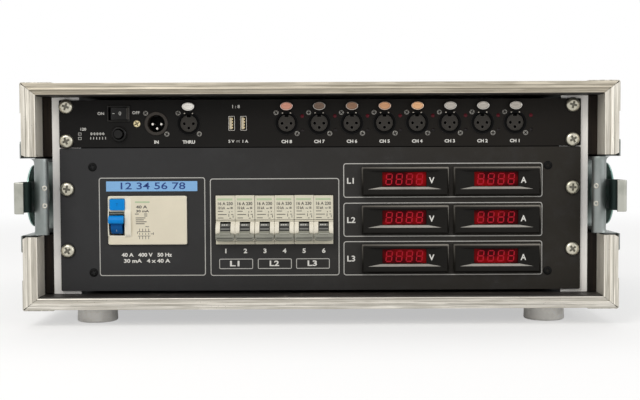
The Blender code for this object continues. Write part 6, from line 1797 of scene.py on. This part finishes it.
def rear_plate():
    """Rear panel with its six mains sockets, their screws and the five-pin inlet."""
    chassis_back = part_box("distributor_chassis")[1].y
    back = Place((0, chassis_back, DISTRIBUTOR.origin[2]), (-1, 0, 0), Z, Y).moved(t=GAP + 2.0)
    sockets = [(x, z) for x in SOCKET_XS for z in (SOCKET_RISE, -SOCKET_RISE)]
    holes = [circle(21.5, spot, 40) for spot in sockets] + [circle(33, POWER_INLET, 44)]
    panel, screws, flanges, cups, contacts, inlet, pins = shapes(7)
    plate(panel, back, rounded(440, 131.75, 1.0), -2, 0, holes, bevel=0.3)
    piece("rear_plate", panel, "chassis", replaces=["rear_socket_plate"])
    for x in REAR_SCREWS:
        for z in (-REAR_SCREW_RISE, REAR_SCREW_RISE):
            cross_head(screws, back, (x, z), 3.0, 1.6, (0.5, 2.0), 1.0, x * 0.1 + z)
    for x, z in sockets:
        opening = circle(19.5, (x, z), 48)
        plate(flanges, back, rounded(50, 50, 5, (x, z), 6), 0, 3, [opening], bevel=0.6, steps=3)
        turned(cups, back, (x, z), SOCKET_CUP, 48)
        for side in (-1, 1):
            drum(contacts, back, (x + side * 9.5, z), 2.6, -11.2, -12, 20)
            plate(contacts, back, rounded(5.0, 2.2, 0.5, (x, z + side * 18.2), 2), -11.6, 1.2, bevel=0.4)
            for up in (-1, 1):
                corner = (x + side * 20.5, z + up * 20.5)
                cross_head(screws, back.moved(t=3), corner, 2.3, 1.0, (0.4, 1.5), 0.8, side + up)
    piece("rear_screws", screws, "screw")
    piece("socket_flanges", flanges, "matt_black")
    piece("socket_cups", cups, "socket_blue")
    piece("socket_contacts", contacts, "nickel")
    opening = circle(31.6, POWER_INLET, 48)
    plate(inlet, back, rounded(80, 92, 8, POWER_INLET, 7), 0, 4, [opening], bevel=0.8, steps=3)
    tube(inlet, back, POWER_INLET, 34.5, 31.5, 3.8, 48, 1.0, 4, 64)
    drum(inlet, back, POWER_INLET, 31.55, 3.9, -30, 64)
    plate(inlet, back, rounded(7, 3.0, 0.8, (POWER_INLET[0], -36.0), 3), 3.5, 40, bevel=0.6)
    for n in range(5):
        angle = -math.pi / 2 + 2 * math.pi * n / 5
        spot = (POWER_INLET[0] + PIN_CIRCLE * math.cos(angle), PIN_CIRCLE * math.sin(angle))
        drum(pins, back, spot, 3.0 if n else 3.5, 36, 3.5, 24, 0.9, 4)
    piece("inlet_body", inlet, "inlet_red")
    piece("inlet_pins", pins, "nickel")


def finish_frame_nodes():
    """Finishes for the frame's own pieces that stay in view."""
    kept = {f"{corner}_rack_rail": "rail" for corner in CORNERS}
    kept |= {"distributor_chassis": "chassis", "splitter_chassis": "chassis"}
    for name, finish in kept.items():
        slots = nodes[name].data.materials
        slots.clear()
        slots.append(FINISHES[finish].material)


# Studio

def studio():
    """White surroundings, three lamps aimed at the case, and the floor."""
    world = bpy.data.worlds.new("studio")
    sky = Nodes(world)
    ambient = sky.shader("Background", Color=(1.0, 0.99, 0.97, 1), Strength=AMBIENT)
    white = sky.shader("Background", Color=(1, 1, 1, 1), Strength=1.0)
    sky.node("ShaderNodeOutputWorld", {}, {0: sky.mixed(sky.seen(), ambient, white)})
    bpy.context.scene.world = world
    for name, place, size, power, tone in LAMPS:
        lamp = bpy.data.lights.new(name, "AREA")
        lamp.shape = "RECTANGLE"
        lamp.size, lamp.size_y = size
        lamp.energy = power
        lamp.color = tone
        holder = bpy.data.objects.new(name, lamp)
        holder.location = place
        aim = Vector((0, 0, 0.1)) - Vector(place)
        holder.rotation_euler = aim.to_track_quat("-Z", "Y").to_euler()
        bpy.context.scene.collection.objects.link(holder)
    floor_sheet()
    bpy.context.scene.view_settings.view_transform = "Standard"


def floor_sheet():
    """Floor that takes shadows near the case and fades to plain white further away."""
    corners = [[(-FLOOR_HALF, y, -0.05), (FLOOR_HALF, y, -0.05)] for y in (-FLOOR_HALF, FLOOR_HALF)]
    mesh = bpy.data.meshes.new("floor")
    points = Place((0, 0, 0), X, Y, Z).at(corners).reshape(-1, 3)
    mesh.from_pydata(points.tolist(), [], cells(2, 2, wrap_columns=False))
    ground = bpy.data.materials.new("studio_floor")
    tree = Nodes(ground)
    where = tree.node("ShaderNodeTexCoord", {}, {}, "Object")
    away = tree.node("ShaderNodeVectorMath", {"operation": "LENGTH"}, {0: where}, "Value")
    plain = tree.shader("BsdfDiffuse", Color=(0.8, 0.8, 0.8, 1))
    pale = tree.shader("BsdfDiffuse", Color=(1.0, 1.0, 1.0, 1))
    glow = tree.shader("Emission", Color=(1, 1, 1, 1), Strength=1.0)
    shown = tree.mixed(away.step(*FLOOR_FADE), tree.mixed(0.5, pale, glow), glow)
    tree.node("ShaderNodeOutputMaterial", {}, {0: tree.mixed(tree.seen(), plain, shown)})
    mesh.materials.append(ground)
    floor = bpy.data.objects.new("floor", mesh)
    bpy.context.scene.collection.objects.link(floor)


# The camera as solved from the rack standard in the photograph
CAMERA_SPOT = (-0.0016, -1.1804, 0.1561)
CAMERA_PITCH = math.radians(-2.41)
CAMERA_YAW = math.radians(-0.08)
CAMERA_ROLL = math.radians(0.25)
FOCAL_PIXELS = 1074.0
IMAGE_WIDTH = 640.0
SENSOR = 36.0


def camera():
    """The camera, turned from straight ahead by its pitch, then its yaw, then its roll."""
    data = bpy.data.cameras.new("camera")
    data.sensor_width = SENSOR
    data.lens = FOCAL_PIXELS / IMAGE_WIDTH * SENSOR
    data.clip_start = 0.05
    holder = bpy.data.objects.new("camera", data)
    upright_view = Matrix.Rotation(math.pi / 2, 4, "X")
    turn = Matrix.Rotation(CAMERA_ROLL, 4, "Y") @ Matrix.Rotation(CAMERA_YAW, 4, "Z")
    turn = turn @ Matrix.Rotation(CAMERA_PITCH, 4, "X")
    holder.matrix_world = Matrix.Translation(CAMERA_SPOT) @ turn @ upright_view
    bpy.context.scene.collection.objects.link(holder)
    bpy.context.scene.camera = holder


camera()
studio()
finish_frame_nodes()
rims()
edge_angles()
boards()
feet()
latches()
handles()
rack_screws()
distributor_front()
meters()
breaker_bank()
breaker_levers()
residual_breaker()
splitter_front()
connector_shells()
tabs()
splitter_details()
charging_ports()
switch_and_button()
rear_plate()
